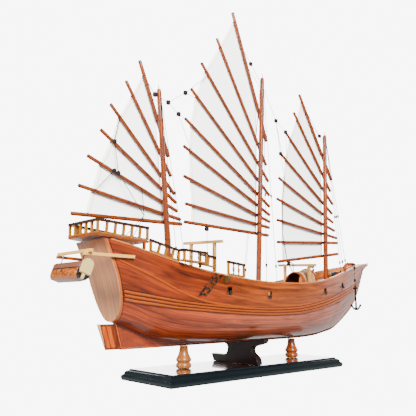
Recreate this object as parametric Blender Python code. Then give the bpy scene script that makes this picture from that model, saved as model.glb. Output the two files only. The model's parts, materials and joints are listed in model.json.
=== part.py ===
"""Wooden display model of a three-masted junk on a moulded base.

Metres, +Z up, +X towards the bow, +Y to port. The origin is the centre of the
base's underside. Sizes below are written in millimetres and scaled by MM.
"""
import math

import bmesh
import bpy
from mathutils import Vector

MM = 0.001
GAP = 0.3                     # running gap between neighbouring pieces

# Base, columns and cradle
BASE_LENGTH, BASE_WIDTH, BASE_HEIGHT = 393.4, 122.5, 16.4
COLUMN_X = (-125.0, 127.5)
CRADLE_X, CRADLE_THICKNESS = -9.5, 11.0
CRADLE_SEAT = 58.6            # height of the arms' tips
CRADLE_PORT_FOOT = 61.2       # y of the long foot's end

# Keel, deadwood and rudder
KEEL_BOTTOM, KEEL_HEIGHT, KEEL_HALF_WIDTH = 50.0, 3.0, 3.0
STERNPOST_FOOT, STERNPOST_HEAD = (-238.5, 50.0), (-249.5, 86.0)
# (x, z) at both ends of the rudder's turning axis
RUDDER_AXIS_FOOT, RUDDER_AXIS_HEAD = (-241.3, 50.8), (-251.8, 85.2)
RUDDER_FOOT_CHORD, RUDDER_HEAD_CHORD, RUDDER_THICKNESS = 20.5, 24.2, 4.0

# Transom plane, from its top edge to its lowest point, as (x, z)
TRANSOM_TOP, TRANSOM_FOOT = (-290.0, 197.4), (-254.6, 88.0)
TRANSOM_KNEE = ((-277.6, 170.0), (-268.2, 148.0), (-261.4, 125.0), (-257.2, 108.0), (-255.2, 98.0))
TRANSOM_THICKNESS = 2.2

# Bulwarks and decks
BULWARK_THICKNESS = 3.0
RAIL_CAP_HEIGHT, RAIL_CAP_LIP = 2.2, 0.9
BOW_TIP, CAP_CROTCH = (396.5, 196.8), (368.0, 193.5)     # where the caps meet, outside and inside

# Hull sections. b: half breadth at the gunwale, g: gunwale height, f: height
# where the body meets the keel, p and q: fullness powers, drop: deck below gunwale
HULL_COLUMNS = ("x", "b", "g", "f", "p", "q", "drop")
HULL_SECTIONS = (
    (-290.0, 38.0, 197.4, 88.0, 3.9, 1.8, 0.6),
    (-284.0, 38.9, 196.0, 86.2, 3.8, 1.85, 0.6),
    (-283.0, 39.1, 195.8, 86.0, 3.8, 1.85, 13.0),
    (-262.0, 42.8, 190.8, 80.0, 3.5, 2.1, 13.0),
    (-225.0, 50.3, 179.8, 70.0, 3.1, 2.5, 13.0),
    (-180.0, 57.0, 168.6, 62.0, 2.9, 2.65, 13.0),
    (-135.0, 61.5, 159.2, 57.5, 2.9, 2.7, 13.0),
    (-85.0, 65.2, 152.2, 55.0, 3.0, 2.6, 13.0),
    (-61.0, 66.6, 149.4, 54.6, 3.0, 2.6, 13.0),
    (-60.0, 66.7, 149.3, 54.6, 3.0, 2.6, 27.0),
    (-35.0, 67.6, 146.8, 54.4, 3.0, 2.6, 27.0),
    (15.0, 68.3, 144.7, 54.3, 3.0, 2.6, 27.0),
    (65.0, 67.6, 144.7, 54.4, 2.9, 2.5, 27.0),
    (105.0, 65.8, 147.0, 54.6, 2.7, 2.4, 27.0),
    (145.0, 62.8, 151.4, 55.0, 2.5, 2.2, 27.0),
    (186.0, 57.4, 159.0, 57.0, 2.3, 2.0, 27.0),
    (209.0, 52.8, 164.2, 60.0, 2.1, 1.9, 27.0),
    (210.0, 52.6, 164.4, 60.2, 2.1, 1.9, 11.0),
    (245.0, 44.4, 172.2, 66.5, 1.85, 1.7, 11.0),
    (270.0, 37.4, 177.2, 77.0, 1.7, 1.6, 11.0),
    (295.0, 30.0, 181.8, 91.5, 1.55, 1.45, 11.0),
    (315.0, 23.8, 185.2, 105.0, 1.4, 1.35, 11.0),
    (332.0, 18.2, 188.0, 121.5, 1.3, 1.25, 11.0),
    (346.0, 13.6, 190.2, 141.0, 1.2, 1.2, 11.0),
    (347.0, 13.3, 190.4, 142.5, 1.2, 1.2, 0.6),
    (357.0, 9.9, 191.8, 162.0, 1.1, 1.15, 0.6),
    (367.0, 6.9, 192.9, 180.0, 1.1, 1.1, 0.6),
    (380.0, 3.6, 194.4, 190.0, 1.1, 1.1, 0.6),
    (393.0, 0.8, 196.0, 195.0, 1.1, 1.1, 0.6),
)
SECTION_STEPS = (0.012, 0.045, 0.10, 0.17, 0.26, 0.37, 0.49, 0.62, 0.75, 0.88, 1.0)

# Mouldings on the hull side: height of the moulding's lower edge and its height
WALE_COLUMNS = ("x", "low", "tall")
WALE = (
    (-284.0, 116.4, 14.4), (-262.0, 113.4, 14.6), (-225.0, 109.6, 13.6), (-180.0, 105.4, 12.3),
    (-135.0, 101.8, 11.0), (-85.0, 98.2, 10.6), (-35.0, 95.4, 11.0), (15.0, 94.0, 11.6),
    (65.0, 94.8, 12.0), (105.0, 97.8, 12.8), (145.0, 103.2, 13.8), (186.0, 110.8, 14.2),
    (245.0, 123.0, 14.6), (270.0, 128.2, 14.8), (295.0, 133.6, 15.0), (315.0, 138.0, 15.0),
    (332.0, 143.0, 14.0),
)
SHEER_STRAKE = (
    (-284.0, 169.8, 3.4), (-262.0, 160.6, 3.4), (-225.0, 146.0, 3.4), (-180.0, 128.6, 3.4),
    (-135.0, 114.6, 3.4), (-85.0, 107.6, 3.4), (-35.0, 103.2, 3.0),
)
MOULDING_PROUD = 1.6

# Masts: x of the foot on deck, top of the wood, radii there, and the pin on top
MAST_COLUMNS = ("name", "foot_x", "top_x", "top_z", "foot_r", "top_r", "pin")
MASTS = (
    ("mizzen", -153.8, -179.5, 446.2, 4.8, 3.9, 7.0),
    ("main", 41.2, 61.9, 533.1, 4.9, 4.1, 9.0),
    ("fore", 238.9, 252.8, 460.5, 4.8, 4.1, 7.0),
)
PIN_RADIUS = 1.0

# Spars of each sail from the yard down to the boom, in the plane of the sail:
# after end (x, z), forward end (x, z), radius
SPAR_COLUMNS = ("aft_x", "aft_z", "fore_x", "fore_z", "radius")
SPARS = {
    "mizzen": (
        (-211.6, 484.6, -154.2, 342.5, 3.1),
        (-235.6, 444.6, -148.9, 311.2, 2.6),
        (-261.4, 401.7, -141.3, 283.3, 2.6),
        (-276.1, 359.5, -137.5, 269.7, 2.6),
        (-295.4, 317.6, -135.3, 256.5, 2.6),
        (-307.5, 273.4, -128.7, 243.8, 2.6),
        (-316.5, 233.1, -126.0, 236.4, 2.7),
    ),
    "main": (
        (-7.8, 642.2, 77.6, 414.1, 3.1),
        (-47.9, 577.4, 75.3, 367.3, 2.6),
        (-84.0, 520.4, 80.8, 336.8, 2.6),
        (-106.8, 467.4, 82.9, 310.7, 2.6),
        (-118.9, 412.6, 82.8, 289.4, 2.6),
        (-121.5, 365.3, 82.9, 273.7, 2.6),
        (-120.6, 315.4, 82.5, 260.8, 2.6),
        (-116.6, 270.7, 81.1, 249.7, 2.6),
        (-118.4, 241.1, 78.0, 235.2, 2.7),
    ),
    "fore": (
        (181.7, 532.3, 279.9, 369.5, 3.0),
        (162.4, 489.4, 274.4, 344.0, 2.6),
        (137.1, 441.5, 281.1, 317.3, 2.6),
        (121.2, 395.2, 277.7, 297.1, 2.6),
        (112.3, 348.0, 279.7, 278.5, 2.6),
        (106.0, 306.8, 284.1, 261.5, 2.6),
        (105.3, 266.6, 291.3, 246.7, 2.6),
        (104.5, 224.6, 292.7, 236.2, 2.6),
        (105.0, 188.5, 292.2, 213.2, 2.7),
    ),
}
SPAR_SIDES, MAST_SIDES = 8, 12
# Sail cloth: inset of the leech from each spar's after end, and of the luff
# from the mast's after face
CLOTH_THICKNESS = 0.6
LEECH_INSET = {"mizzen": 21.0, "main": 14.0, "fore": 15.0}
LUFF_INSET = 1.0

# Poop platform, its rail and pillars
POOP_AFT_X, POOP_FORE_X = -304.0, -226.5
POOP_AFT_Z, POOP_FORE_Z = 204.2, 198.2
POOP_AFT_HALF, POOP_FORE_HALF, POOP_THICKNESS = 39.0, 47.0, 3.0
POOP_RAIL_HEIGHT, RAIL_DEPTH, RAIL_WIDTH, POST_SIZE = 16.0, 2.4, 3.4, 2.6
PILLAR_X, PILLAR_SIZE = -233.0, 3.4

# Railing on each quarter: the fence on the rail cap, then the side gallery
QUARTER_RAIL_X, FENCE_HEIGHT = (-224.6, -117.0), 14.0
GALLERY_AFT_X, GALLERY_FORE_X, GALLERY_DEPTH = -181.0, -144.0, 13.0
GALLERY_RISE, GALLERY_FLOOR = 5.0, 2.0      # lift of its fore end above the cap, floor thickness
WAIST_FENCE_X, WAIST_FENCE_HEIGHT = (-92.0, -58.0), 19.0

# Davits and the tender slung from them
DAVIT_AFT = (-321.0, 36.0, 176.4)
DAVIT_FORE = (-250.0, 46.9, 174.6)
DAVIT_SIZE = 4.2
CROSSBAR_X, CROSSBAR_HALF = -314.0, 45.6
TENDER_X, TENDER_TOP, TENDER_BOTTOM = -321.0, 164.0, 141.5
TENDER_HALF_LENGTH, TENDER_WIDTH, TENDER_HEEL = 43.0, 17.0, 20.0
STERN_BOARD_WIDTH, STERN_BOARD_HEIGHT, STERN_BOARD_THICKNESS, STERN_BOARD_FOOT = 15.6, 19.5, 1.8, 9.0
SLING_Y, SLING_RADIUS = 29.0, 0.7

# Gallows (name, x, height of the bar's centre, half length, y of the posts),
# mat shelter and windlass
GALLOWS = (
    ("aft_gallows", -87.5, 209.6, 46.3, 28.4),
    ("fore_gallows", 149.0, 183.4, 44.0, 28.8),
)
GALLOWS_CANT, TIMBER = 0.04, 4.6          # rise of each bar to port, size of the timber
SHELTER_X = (140.0, 180.0)
SHELTER_HALF_WIDTH, SHELTER_HEIGHT, SHELTER_WALL, SHELTER_RIM = 22.7, 45.6, 2.0, 1.3
WINDLASS_X, WINDLASS_HALF, WINDLASS_CHEEK_Y = 268.0, 16.0, 11.5

# Ground tackle and guns
CATHEAD_X, CATHEAD_REACH, CATHEAD_SPLAY, CATHEAD_SIZE = 240.5, 26.0, 0.24, 3.6
ANCHOR_TOP, ANCHOR_LENGTH, ANCHOR_SPREAD, ANCHOR_BLOCKS = 147.0, 46.0, 19.0, (180.0, 155.0)
# x and height of each gun port
GUNS = ((-89.0, 131.8), (-4.0, 126.4), (151.0, 134.0), (224.0, 145.5))
GUN_RADIUS, GUN_PORT = 2.4, 9.0
LADDER_HEAD_X, LADDER_FOOT_X, LADDER_FOOT_Z, LADDER_GAP = -119.0, -148.0, 124.0, 11.0
BRACKET_X, BRACKET_REACH, BRACKET_DROP = (-102.0, -96.5), 13.0, 11.5


def row_values(table, columns, x):
    """Linear interpolation of a table's named columns at x (columns[0])."""
    rows = sorted(table, key=lambda row: row[0])
    if x <= rows[0][0]:
        return dict(zip(columns, rows[0]))
    for low, high in zip(rows, rows[1:]):
        if x <= high[0]:
            share = (x - low[0]) / (high[0] - low[0])
            return {name: a + share * (b - a) for name, a, b in zip(columns, low, high)}
    return dict(zip(columns, rows[-1]))


def stern_line(z):
    """x of the stern profile at height z: transom, counter, then sternpost."""
    knots = (TRANSOM_TOP,) + TRANSOM_KNEE + (TRANSOM_FOOT, STERNPOST_HEAD, STERNPOST_FOOT)
    for (high_x, high_z), (low_x, low_z) in zip(knots, knots[1:]):
        if z >= low_z:
            return low_x + (z - low_z) / (high_z - low_z) * (high_x - low_x)
    return STERNPOST_FOOT[0]


def raked_x(x, z):
    """Section x leaned to follow the stern, fading out 110 mm forward of it."""
    fade = max(0.0, 1.0 - (x - TRANSOM_TOP[0]) / 110.0)
    return x + fade * (stern_line(z) - TRANSOM_TOP[0])


def section_half_breadth(section, z):
    """Half breadth of the hull body at height z on one section."""
    share = (z - section["f"]) / (section["g"] - section["f"])
    share = min(max(share, 0.0), 1.0)
    full = (1.0 - (1.0 - share) ** section["p"]) ** (1.0 / section["q"])
    keel = min(KEEL_HALF_WIDTH, 0.9 * section["b"])
    return keel + (section["b"] - keel) * full


def hull_point(x, z):
    """Point of the hull's outer surface on the section at x, at height z."""
    section = row_values(HULL_SECTIONS, HULL_COLUMNS, x)
    return Vector((raked_x(x, z), section_half_breadth(section, z), z))


def section_at(x):
    """Section whose gunwale stands at x, allowing for the stern's lean."""
    nominal = x
    for _ in range(4):
        section = row_values(HULL_SECTIONS, HULL_COLUMNS, nominal)
        nominal += x - raked_x(nominal, section["g"])
    return row_values(HULL_SECTIONS, HULL_COLUMNS, nominal)


def gunwale(x):
    """Half breadth and height of the gunwale at x."""
    section = section_at(x)
    return section["b"], section["g"]


def deck_height(x):
    section = section_at(x)
    return section["g"] - section["drop"]


def seat_height(x, reach):
    """Height at which a piece reaching this far fore and aft stands on deck."""
    return max(deck_height(x - reach), deck_height(x + reach)) + GAP


def hull_bottom(section):
    """Underside of the hull: flat along the keel, then up the stem."""
    flat = KEEL_BOTTOM + KEEL_HEIGHT + GAP
    return flat if section["x"] < 100.0 else max(flat, section["f"] - 1.2)


def make_material(name, colour, roughness, metallic=0.0):
    material = bpy.data.materials.new(name)
    material.use_nodes = True
    shader = material.node_tree.nodes["Principled BSDF"]
    shader.inputs["Base Color"].default_value = (*colour, 1.0)
    shader.inputs["Roughness"].default_value = roughness
    shader.inputs["Metallic"].default_value = metallic
    return material


def add_object(name, bm, material, guide=False):
    """Mesh object from a bmesh in millimetres, outward faces, in metres."""
    bmesh.ops.recalc_face_normals(bm, faces=bm.faces)
    bmesh.ops.scale(bm, vec=(MM, MM, MM), verts=bm.verts)
    mesh = bpy.data.meshes.new(name)
    bm.to_mesh(mesh)
    bm.free()
    if material is not None:
        mesh.materials.append(material)
    thing = bpy.data.objects.new(name, mesh)
    bpy.context.scene.collection.objects.link(thing)
    if guide:
        thing.hide_render = True
        thing.display_type = "WIRE"
    return thing


def combine(thing, other, operation="UNION"):
    modifier = thing.modifiers.new(operation.lower(), "BOOLEAN")
    modifier.operation = operation
    modifier.solver = "EXACT"
    modifier.object = other


def add_mirrored(name, thing, material):
    """Port twin of a finished starboard object."""
    graph = bpy.context.evaluated_depsgraph_get()
    bm = bmesh.new()
    bm.from_mesh(thing.evaluated_get(graph).to_mesh())
    bmesh.ops.scale(bm, vec=(1.0 / MM, -1.0 / MM, 1.0 / MM), verts=bm.verts)
    return add_object(name, bm, material)


def add_rings(bm, rings, first_cap=((0, None),)):
    """Closed skin through rings of equal length, with a face at each end.

    first_cap lists, as slices from both ends of the first ring, the flat
    faces that close it where it isn't flat as a whole.
    """
    loops = [[bm.verts.new(point) for point in ring] for ring in rings]
    count = len(loops[0])
    for near, far in zip(loops, loops[1:]):
        for i in range(count):
            j = (i + 1) % count
            bm.faces.new((near[i], near[j], far[j], far[i]))
    for start, stop in first_cap:
        near = loops[0][start:stop]
        bm.faces.new(near if stop is None else near + loops[0][::-1][start:stop][::-1])
    bm.faces.new(loops[-1])


def add_box(bm, low, high):
    rings = []
    for z in (low[2], high[2]):
        rings.append([(low[0], low[1], z), (high[0], low[1], z),
                      (high[0], high[1], z), (low[0], high[1], z)])
    add_rings(bm, rings)


def add_beam(bm, start, end, width, height):
    """Square-ended timber between two points; height is its upright size."""
    start, end = Vector(start), Vector(end)
    along = (end - start).normalized()
    side = along.cross(Vector((0.0, 0.0, 1.0)))
    if side.length < 0.01:
        side = Vector((0.0, 1.0, 0.0))
    side.normalize()
    up = side.cross(along)
    rings = []
    for centre in (start, end):
        corners = ((-1, -1), (1, -1), (1, 1), (-1, 1))
        rings.append([centre + side * (a * width / 2) + up * (b * height / 2) for a, b in corners])
    add_rings(bm, rings)


def round_ring(centre, side, other, radius, sides):
    """Points round a circle in the plane of two unit vectors."""
    turns = [2 * math.pi * (i + 0.5) / sides for i in range(sides)]
    return [centre + side * (radius * math.cos(t)) + other * (radius * math.sin(t)) for t in turns]


def add_rod(bm, start, end, start_radius, end_radius, sides):
    start, end = Vector(start), Vector(end)
    along = (end - start).normalized()
    reference = Vector((0.0, 1.0, 0.0)) if abs(along.y) < 0.9 else Vector((1.0, 0.0, 0.0))
    side = along.cross(reference).normalized()
    other = along.cross(side)
    rings = []
    for centre, radius in ((start, start_radius), (end, end_radius)):
        rings.append(round_ring(centre, side, other, radius, sides))
    add_rings(bm, rings)


def add_lathe(bm, x, y, profile, sides):
    """Turned shape about a vertical line; profile rows are (radius, z)."""
    rings = []
    for radius, z in profile:
        turns = [2 * math.pi * i / sides for i in range(sides)]
        rings.append([(x + radius * math.cos(t), y + radius * math.sin(t), z) for t in turns])
    add_rings(bm, rings)


def add_prism(bm, outline, low, high, place):
    """Outline extruded from low to high; place(u, v, w) gives the point."""
    add_rings(bm, [[place(u, v, w) for u, v in outline] for w in (low, high)])


def make_base(materials):
    # inset from the base's edge, and height
    profile = [(1.4, 0.0), (0.4, 0.9)]
    for step in range(5):
        turn = math.radians(-35 + 30 * step)
        profile.append((2.6 - 2.6 * math.cos(turn), 4.6 + 3.4 * math.sin(turn)))
    for step in range(5):
        turn = math.radians(22.5 * step)
        profile.append((9.2 - 5.4 * math.cos(turn), 8.8 + 5.6 * math.sin(turn)))
    profile += [(9.2, 15.6), (9.8, BASE_HEIGHT)]
    bm = bmesh.new()
    rings = []
    for inset, z in profile:
        x, y = BASE_LENGTH / 2 - inset, BASE_WIDTH / 2 - inset
        rings.append([(-x, -y, z), (x, -y, z), (x, y, z), (-x, y, z)])
    add_rings(bm, rings)
    add_object("base_plate", bm, materials["lacquer"])


def make_columns(materials):
    # radius and height above the base
    profile = (
        (9.4, 0.3), (10.8, 1.2), (11.6, 3.0), (11.9, 5.0), (11.4, 7.2), (9.9, 8.6), (9.6, 9.4),
        (11.4, 10.6), (11.6, 12.0), (10.6, 14.5), (9.0, 18.0), (7.6, 22.0), (6.7, 26.0), (6.3, 30.0),
        (6.2, KEEL_BOTTOM - BASE_HEIGHT - GAP),
    )
    for name, x in zip(("column_aft", "column_fore"), COLUMN_X):
        bm = bmesh.new()
        add_lathe(bm, x, 0.0, [(r, BASE_HEIGHT + z) for r, z in profile], 20)
        column = add_object(name, bm, materials["turned"])
        column.data.shade_smooth()


def make_cradle(materials):
    """Board across the base, waisted, with a longer foot to port."""
    # (y, z) from the starboard foot up to the arm's tip, then the port side down
    starboard = [
        (-49.0, 16.7), (-49.2, 20.4), (-47.0, 26.9), (-42.2, 30.7), (-37.5, 33.7), (-35.2, 37.0),
        (-35.2, 41.2), (-38.0, 44.2), (-42.5, 45.8), (-52.0, 48.0), (-60.0, 50.5), (-63.6, 53.6),
        (-64.4, 56.4), (-63.0, CRADLE_SEAT),
    ]
    seat = [(60.0, CRADLE_SEAT), (52.0, 57.0), (44.0, 55.4), (34.0, 54.2),
            (22.0, 52.6), (12.0, 51.4), (4.0, 49.7)]
    port = [
        (63.0, CRADLE_SEAT), (64.4, 56.4), (63.0, 53.6), (57.0, 51.0), (46.0, 49.4), (34.0, 48.8),
        (27.6, 47.8), (21.2, 45.2), (18.8, 40.5), (20.0, 35.1), (22.4, 30.8), (26.0, 28.6),
        (CRADLE_PORT_FOOT, 28.3), (CRADLE_PORT_FOOT, 16.7),
    ]
    outline = starboard + [(-y, z) for y, z in seat] + seat[::-1] + port
    bm = bmesh.new()
    aft, fore = CRADLE_X - CRADLE_THICKNESS / 2, CRADLE_X + CRADLE_THICKNESS / 2
    add_prism(bm, outline, aft, fore, lambda y, z, x: (x, y, z))
    cradle = add_object("cradle", bm, materials["dark_board"])
    # facet cut off the long foot's outer corner, wider towards its sole
    bm = bmesh.new()
    y = CRADLE_PORT_FOOT
    rings = [[(aft - 1.0, y - 9.0, 16.0), (aft + 9.0, y + 1.0, 16.0), (aft - 1.0, y + 1.0, 16.0)],
             [(aft - 1.0, y - 3.0, 29.0), (aft + 3.0, y + 1.0, 29.0), (aft - 1.0, y + 1.0, 29.0)]]
    add_rings(bm, rings)
    combine(cradle, add_object("cradle_foot_cutter", bm, None, guide=True), "DIFFERENCE")


def hull_ring(section):
    """One closed section, from the keel up the port side and round."""
    keel = min(KEEL_HALF_WIDTH, 0.9 * section["b"])
    low = min(hull_bottom(section), section["f"] - 1.0)
    rabbet = max(section["f"] - 2.0, 0.5 * (low + section["f"]))
    half = [(keel, low), (keel, rabbet), (keel, section["f"])]
    for share in SECTION_STEPS:
        z = section["f"] + share * (section["g"] - section["f"])
        half.append((section_half_breadth(section, z), z))
    inner = section["b"] - min(BULWARK_THICKNESS, 0.4 * section["b"])
    deck = section["g"] - section["drop"]
    deck_half = section_half_breadth(section, deck) - min(BULWARK_THICKNESS, 0.4 * section["b"])
    half.append((inner, section["g"]))
    half.append((min(inner, deck_half), deck))
    points = half + [(-y, z) for y, z in reversed(half)]
    return [(raked_x(section["x"], z), y, z) for y, z in points]


def make_hull(materials):
    bm = bmesh.new()
    rings = [hull_ring(dict(zip(HULL_COLUMNS, row))) for row in HULL_SECTIONS]
    half_count = len(rings[0]) // 2
    flat_from = half_count - 4
    cap = tuple((i, i + 2) for i in range(flat_from)) + ((flat_from, half_count),)
    add_rings(bm, rings, first_cap=cap)
    hull = add_object("hull", bm, materials["hull"])
    cutter, barrels, carriages = bmesh.new(), bmesh.new(), bmesh.new()
    for x, z in GUNS:
        half = section_half_breadth(row_values(HULL_SECTIONS, HULL_COLUMNS, x), z)
        deck = min(deck_height(x), z) - 1.0
        for side in (-1, 1):
            low, high = sorted((side * (half + 4.0), side * (half - 6.0)))
            size = GUN_PORT / 2
            add_box(cutter, (x - size, low, z - size), (x + size, high, z + size))
            breech, muzzle = (x, side * (half - 18.0), z - 0.6), (x, side * (half + 3.0), z - 0.6)
            add_rod(barrels, breech, muzzle, GUN_RADIUS, 1.7, 8)
            low, high = sorted((side * (half - 17.0), side * (half - 7.0)))
            add_box(carriages, (x - 3.0, low, deck), (x + 3.0, high, z))
    combine(hull, add_object("gun_port_cutter", cutter, None, guide=True), "DIFFERENCE")
    combine(hull, add_object("gun_carriages", carriages, None, guide=True))
    combine(hull, add_object("gun_barrels", barrels, None, guide=True))


def make_keel(materials):
    """Keel bar with the stem swept up along the bow."""
    bm = bmesh.new()
    rings = []
    foot = STERNPOST_FOOT[0]
    rings.append((foot, KEEL_BOTTOM, KEEL_BOTTOM + KEEL_HEIGHT, KEEL_HALF_WIDTH))
    for row in HULL_SECTIONS:
        section = dict(zip(HULL_COLUMNS, row))
        if 100.0 < section["x"] < 370.0:
            top = min(hull_bottom(section), section["f"] - 1.0) - GAP
            width = min(KEEL_HALF_WIDTH, 0.9 * section["b"])
            rings.append((section["x"], max(KEEL_BOTTOM, top - KEEL_HEIGHT), top, width))
    add_rings(bm, [[(x, -w, low), (x, w, low), (x, w * 0.9, top), (x, -w * 0.9, top)]
                   for x, low, top, w in rings])
    add_object("keel_stem", bm, materials["hull"])


def make_transom(materials):
    """Board closing the stern, bent to the profile of the hull's end."""
    section = dict(zip(HULL_COLUMNS, HULL_SECTIONS[0]))
    span = TRANSOM_TOP[1] - TRANSOM_FOOT[1]
    half = [(1.5, TRANSOM_FOOT[1])]
    half += [(section_half_breadth(section, TRANSOM_FOOT[1] + share * span), TRANSOM_FOOT[1] + share * span)
             for share in (0.004, 0.02, 0.06, 0.12, 0.2, 0.3, 0.45, 0.65, 0.85, 1.0)]
    bm = bmesh.new()
    rings = []
    for y, z in half:
        face = stern_line(z) - GAP
        back = face - TRANSOM_THICKNESS
        rings.append([(face, -y, z), (face, y, z), (back, y, z), (back, -y, z)])
    add_rings(bm, rings)
    add_object("transom_board", bm, materials["pale_board"])


def make_rail_cap(materials):
    """Cap along both gunwales, meeting at the bow's tip."""
    doubled = (-61.0, 209.0, 346.0)
    stations = [row for row in HULL_SECTIONS if -283.5 < row[0] < 360.0 and row[0] not in doubled]

    def ring(x, outer, inner, z, side):
        low, high = z + GAP, z + GAP + RAIL_CAP_HEIGHT
        return [(x, side * outer, low), (x, side * outer, high),
                (x, side * inner, high), (x, side * inner, low)]

    rings = []
    for side in (1, -1):
        half = []
        for row in stations:
            section = dict(zip(HULL_COLUMNS, row))
            x = raked_x(section["x"], section["g"])
            outer = section["b"] + RAIL_CAP_LIP
            inner = section["b"] - BULWARK_THICKNESS - RAIL_CAP_LIP
            half.append(ring(x, outer, inner, section["g"], side))
        if side == 1:
            rings += half
            tip, crotch = BOW_TIP, CAP_CROTCH
            rings.append([(tip[0], 0, tip[1]), (tip[0], 0, tip[1] + RAIL_CAP_HEIGHT),
                          (crotch[0], 0, crotch[1] + RAIL_CAP_HEIGHT), (crotch[0], 0, crotch[1])])
        else:
            rings += reversed(half)
    bm = bmesh.new()
    add_rings(bm, rings)
    add_object("rail_cap", bm, materials["cap"])


def moulding_rings(table, side, inner, outer):
    """Rings of a moulding; inner and outer rows are (share of height, stand-off)."""
    rings = []
    for row in HULL_SECTIONS:
        x = row[0]
        if not table[0][0] <= x <= table[-1][0]:
            continue
        values = row_values(table, WALE_COLUMNS, x)
        ring = []
        for share, out in outer + inner:
            point = hull_point(x, values["low"] + share * values["tall"])
            ring.append((point.x, side * (point.y + out), point.z))
        rings.append(ring)
    return rings


def make_mouldings(materials):
    """Wale of three bands on each side, with the sheer strake that leaves it aft."""
    groove, band = 0.7, MOULDING_PROUD
    wale_face = [(0.0, band), (0.27, band), (0.33, groove), (0.39, band),
                 (0.61, band), (0.67, groove), (0.73, band), (1.0, band)]
    wale_back = [(1.0, GAP), (0.67, GAP), (0.33, GAP), (0.0, GAP)]
    strake_face = [(0.0, band - 0.1), (1.0, band - 0.1)]
    strake_back = [(1.0, GAP + 0.1), (0.0, GAP + 0.1)]
    for name, side in (("starboard", -1), ("port", 1)):
        strake = bmesh.new()
        add_rings(strake, moulding_rings(SHEER_STRAKE, side, strake_back, strake_face))
        guide = add_object(f"sheer_strake_{name}", strake, None, guide=True)
        bm = bmesh.new()
        add_rings(bm, moulding_rings(WALE, side, wale_back, wale_face))
        wale = add_object(f"wale_{name}", bm, materials["hull"])
        combine(wale, guide)


def make_rudder(materials):
    """Blade with a rounded leading edge about its turning axis."""
    radius = RUDDER_THICKNESS / 2
    rings = []
    for (x, z), chord in ((RUDDER_AXIS_FOOT, RUDDER_FOOT_CHORD), (RUDDER_AXIS_HEAD, RUDDER_HEAD_CHORD)):
        ring = [(x - chord, -radius, z)]
        for i in range(7):
            turn = math.radians(-90 + 30 * i)
            ring.append((x + radius * math.cos(turn), radius * math.sin(turn), z))
        ring.append((x - chord, radius, z))
        rings.append(ring)
    bm = bmesh.new()
    add_rings(bm, rings)
    add_object("rudder", bm, materials["hull"])


def poop_top(x):
    share = (x - POOP_AFT_X) / (POOP_FORE_X - POOP_AFT_X)
    return POOP_AFT_Z + share * (POOP_FORE_Z - POOP_AFT_Z)


def poop_half(x):
    share = (x - POOP_AFT_X) / (POOP_FORE_X - POOP_AFT_X)
    return POOP_AFT_HALF + share * (POOP_FORE_HALF - POOP_AFT_HALF)


def make_poop(materials):
    bm = bmesh.new()
    rings = []
    for x in (POOP_AFT_X, POOP_FORE_X):
        y, top = poop_half(x), poop_top(x)
        low = top - POOP_THICKNESS
        rings.append([(x, -y, low), (x, y, low), (x, y, top), (x, -y, top)])
    add_rings(bm, rings)
    deck = add_object("poop_deck", bm, materials["cap"])
    posts = bmesh.new()
    _, height = gunwale(PILLAR_X - PILLAR_SIZE / 2)
    for side in (-1, 1):
        y = side * (poop_half(PILLAR_X) - PILLAR_SIZE / 2)
        size = PILLAR_SIZE / 2
        foot, head = height + 2 * GAP + RAIL_CAP_HEIGHT, poop_top(PILLAR_X) - 1.0
        add_box(posts, (PILLAR_X - size, y - size, foot), (PILLAR_X + size, y + size, head))
    pillars = add_object("poop_pillars", posts, None, guide=True)
    combine(deck, pillars)


def bar_along(bm, points, width, height):
    """Mitred bar through points in plan, its underside on them."""
    points = [Vector(point) for point in points]
    rings = []
    for i, point in enumerate(points):
        before = (point - points[i - 1]) if i else (points[1] - point)
        after = (points[i + 1] - point) if i + 1 < len(points) else before
        a = Vector((before.x, before.y, 0)).normalized()
        b = Vector((after.x, after.y, 0)).normalized()
        along = (a + b).normalized()
        stretch = 1.0 / max(0.3, along.dot(a))
        side = Vector((-along.y, along.x, 0)) * (width / 2 * stretch)
        up = Vector((0, 0, height))
        rings.append([point - side, point + side, point + side + up, point - side + up])
    add_rings(bm, rings)


def posts_along(bm, points, counts, size, height, feet):
    """Square posts standing on points, spaced evenly on each leg; feet lengthens the corner ones."""
    places = []
    for number, foot, start, end in zip(counts, feet[1:], points, points[1:]):
        start, end = Vector(start), Vector(end)
        first = 1 if places else 0
        places += [(start.lerp(end, i / number), foot if i == number else 0.0)
                   for i in range(first, number + 1)]
    half = size / 2
    for place, foot in places:
        add_box(bm, place + Vector((-half, -half, -foot)), place + Vector((half, half, height)))


def make_railing(name, path, counts, size, height, bar_width, bar_depth, material,
                 sill=1.8, feet=(0.0,) * 6):
    """Sill, posts and top bar joined into one railing."""
    bars = bmesh.new()
    bar_along(bars, path, bar_width, sill)
    bar_along(bars, [Vector(p) + Vector((0, 0, height)) for p in path], bar_width, bar_depth)
    bars_guide = add_object(name + "_bars", bars, None, guide=True)
    posts = bmesh.new()
    lifted = [Vector(p) + Vector((0, 0, 0.5)) for p in path]
    posts_along(posts, lifted, counts, size, height, feet)
    railing = add_object(name, posts, material)
    combine(railing, bars_guide)
    return railing


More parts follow.
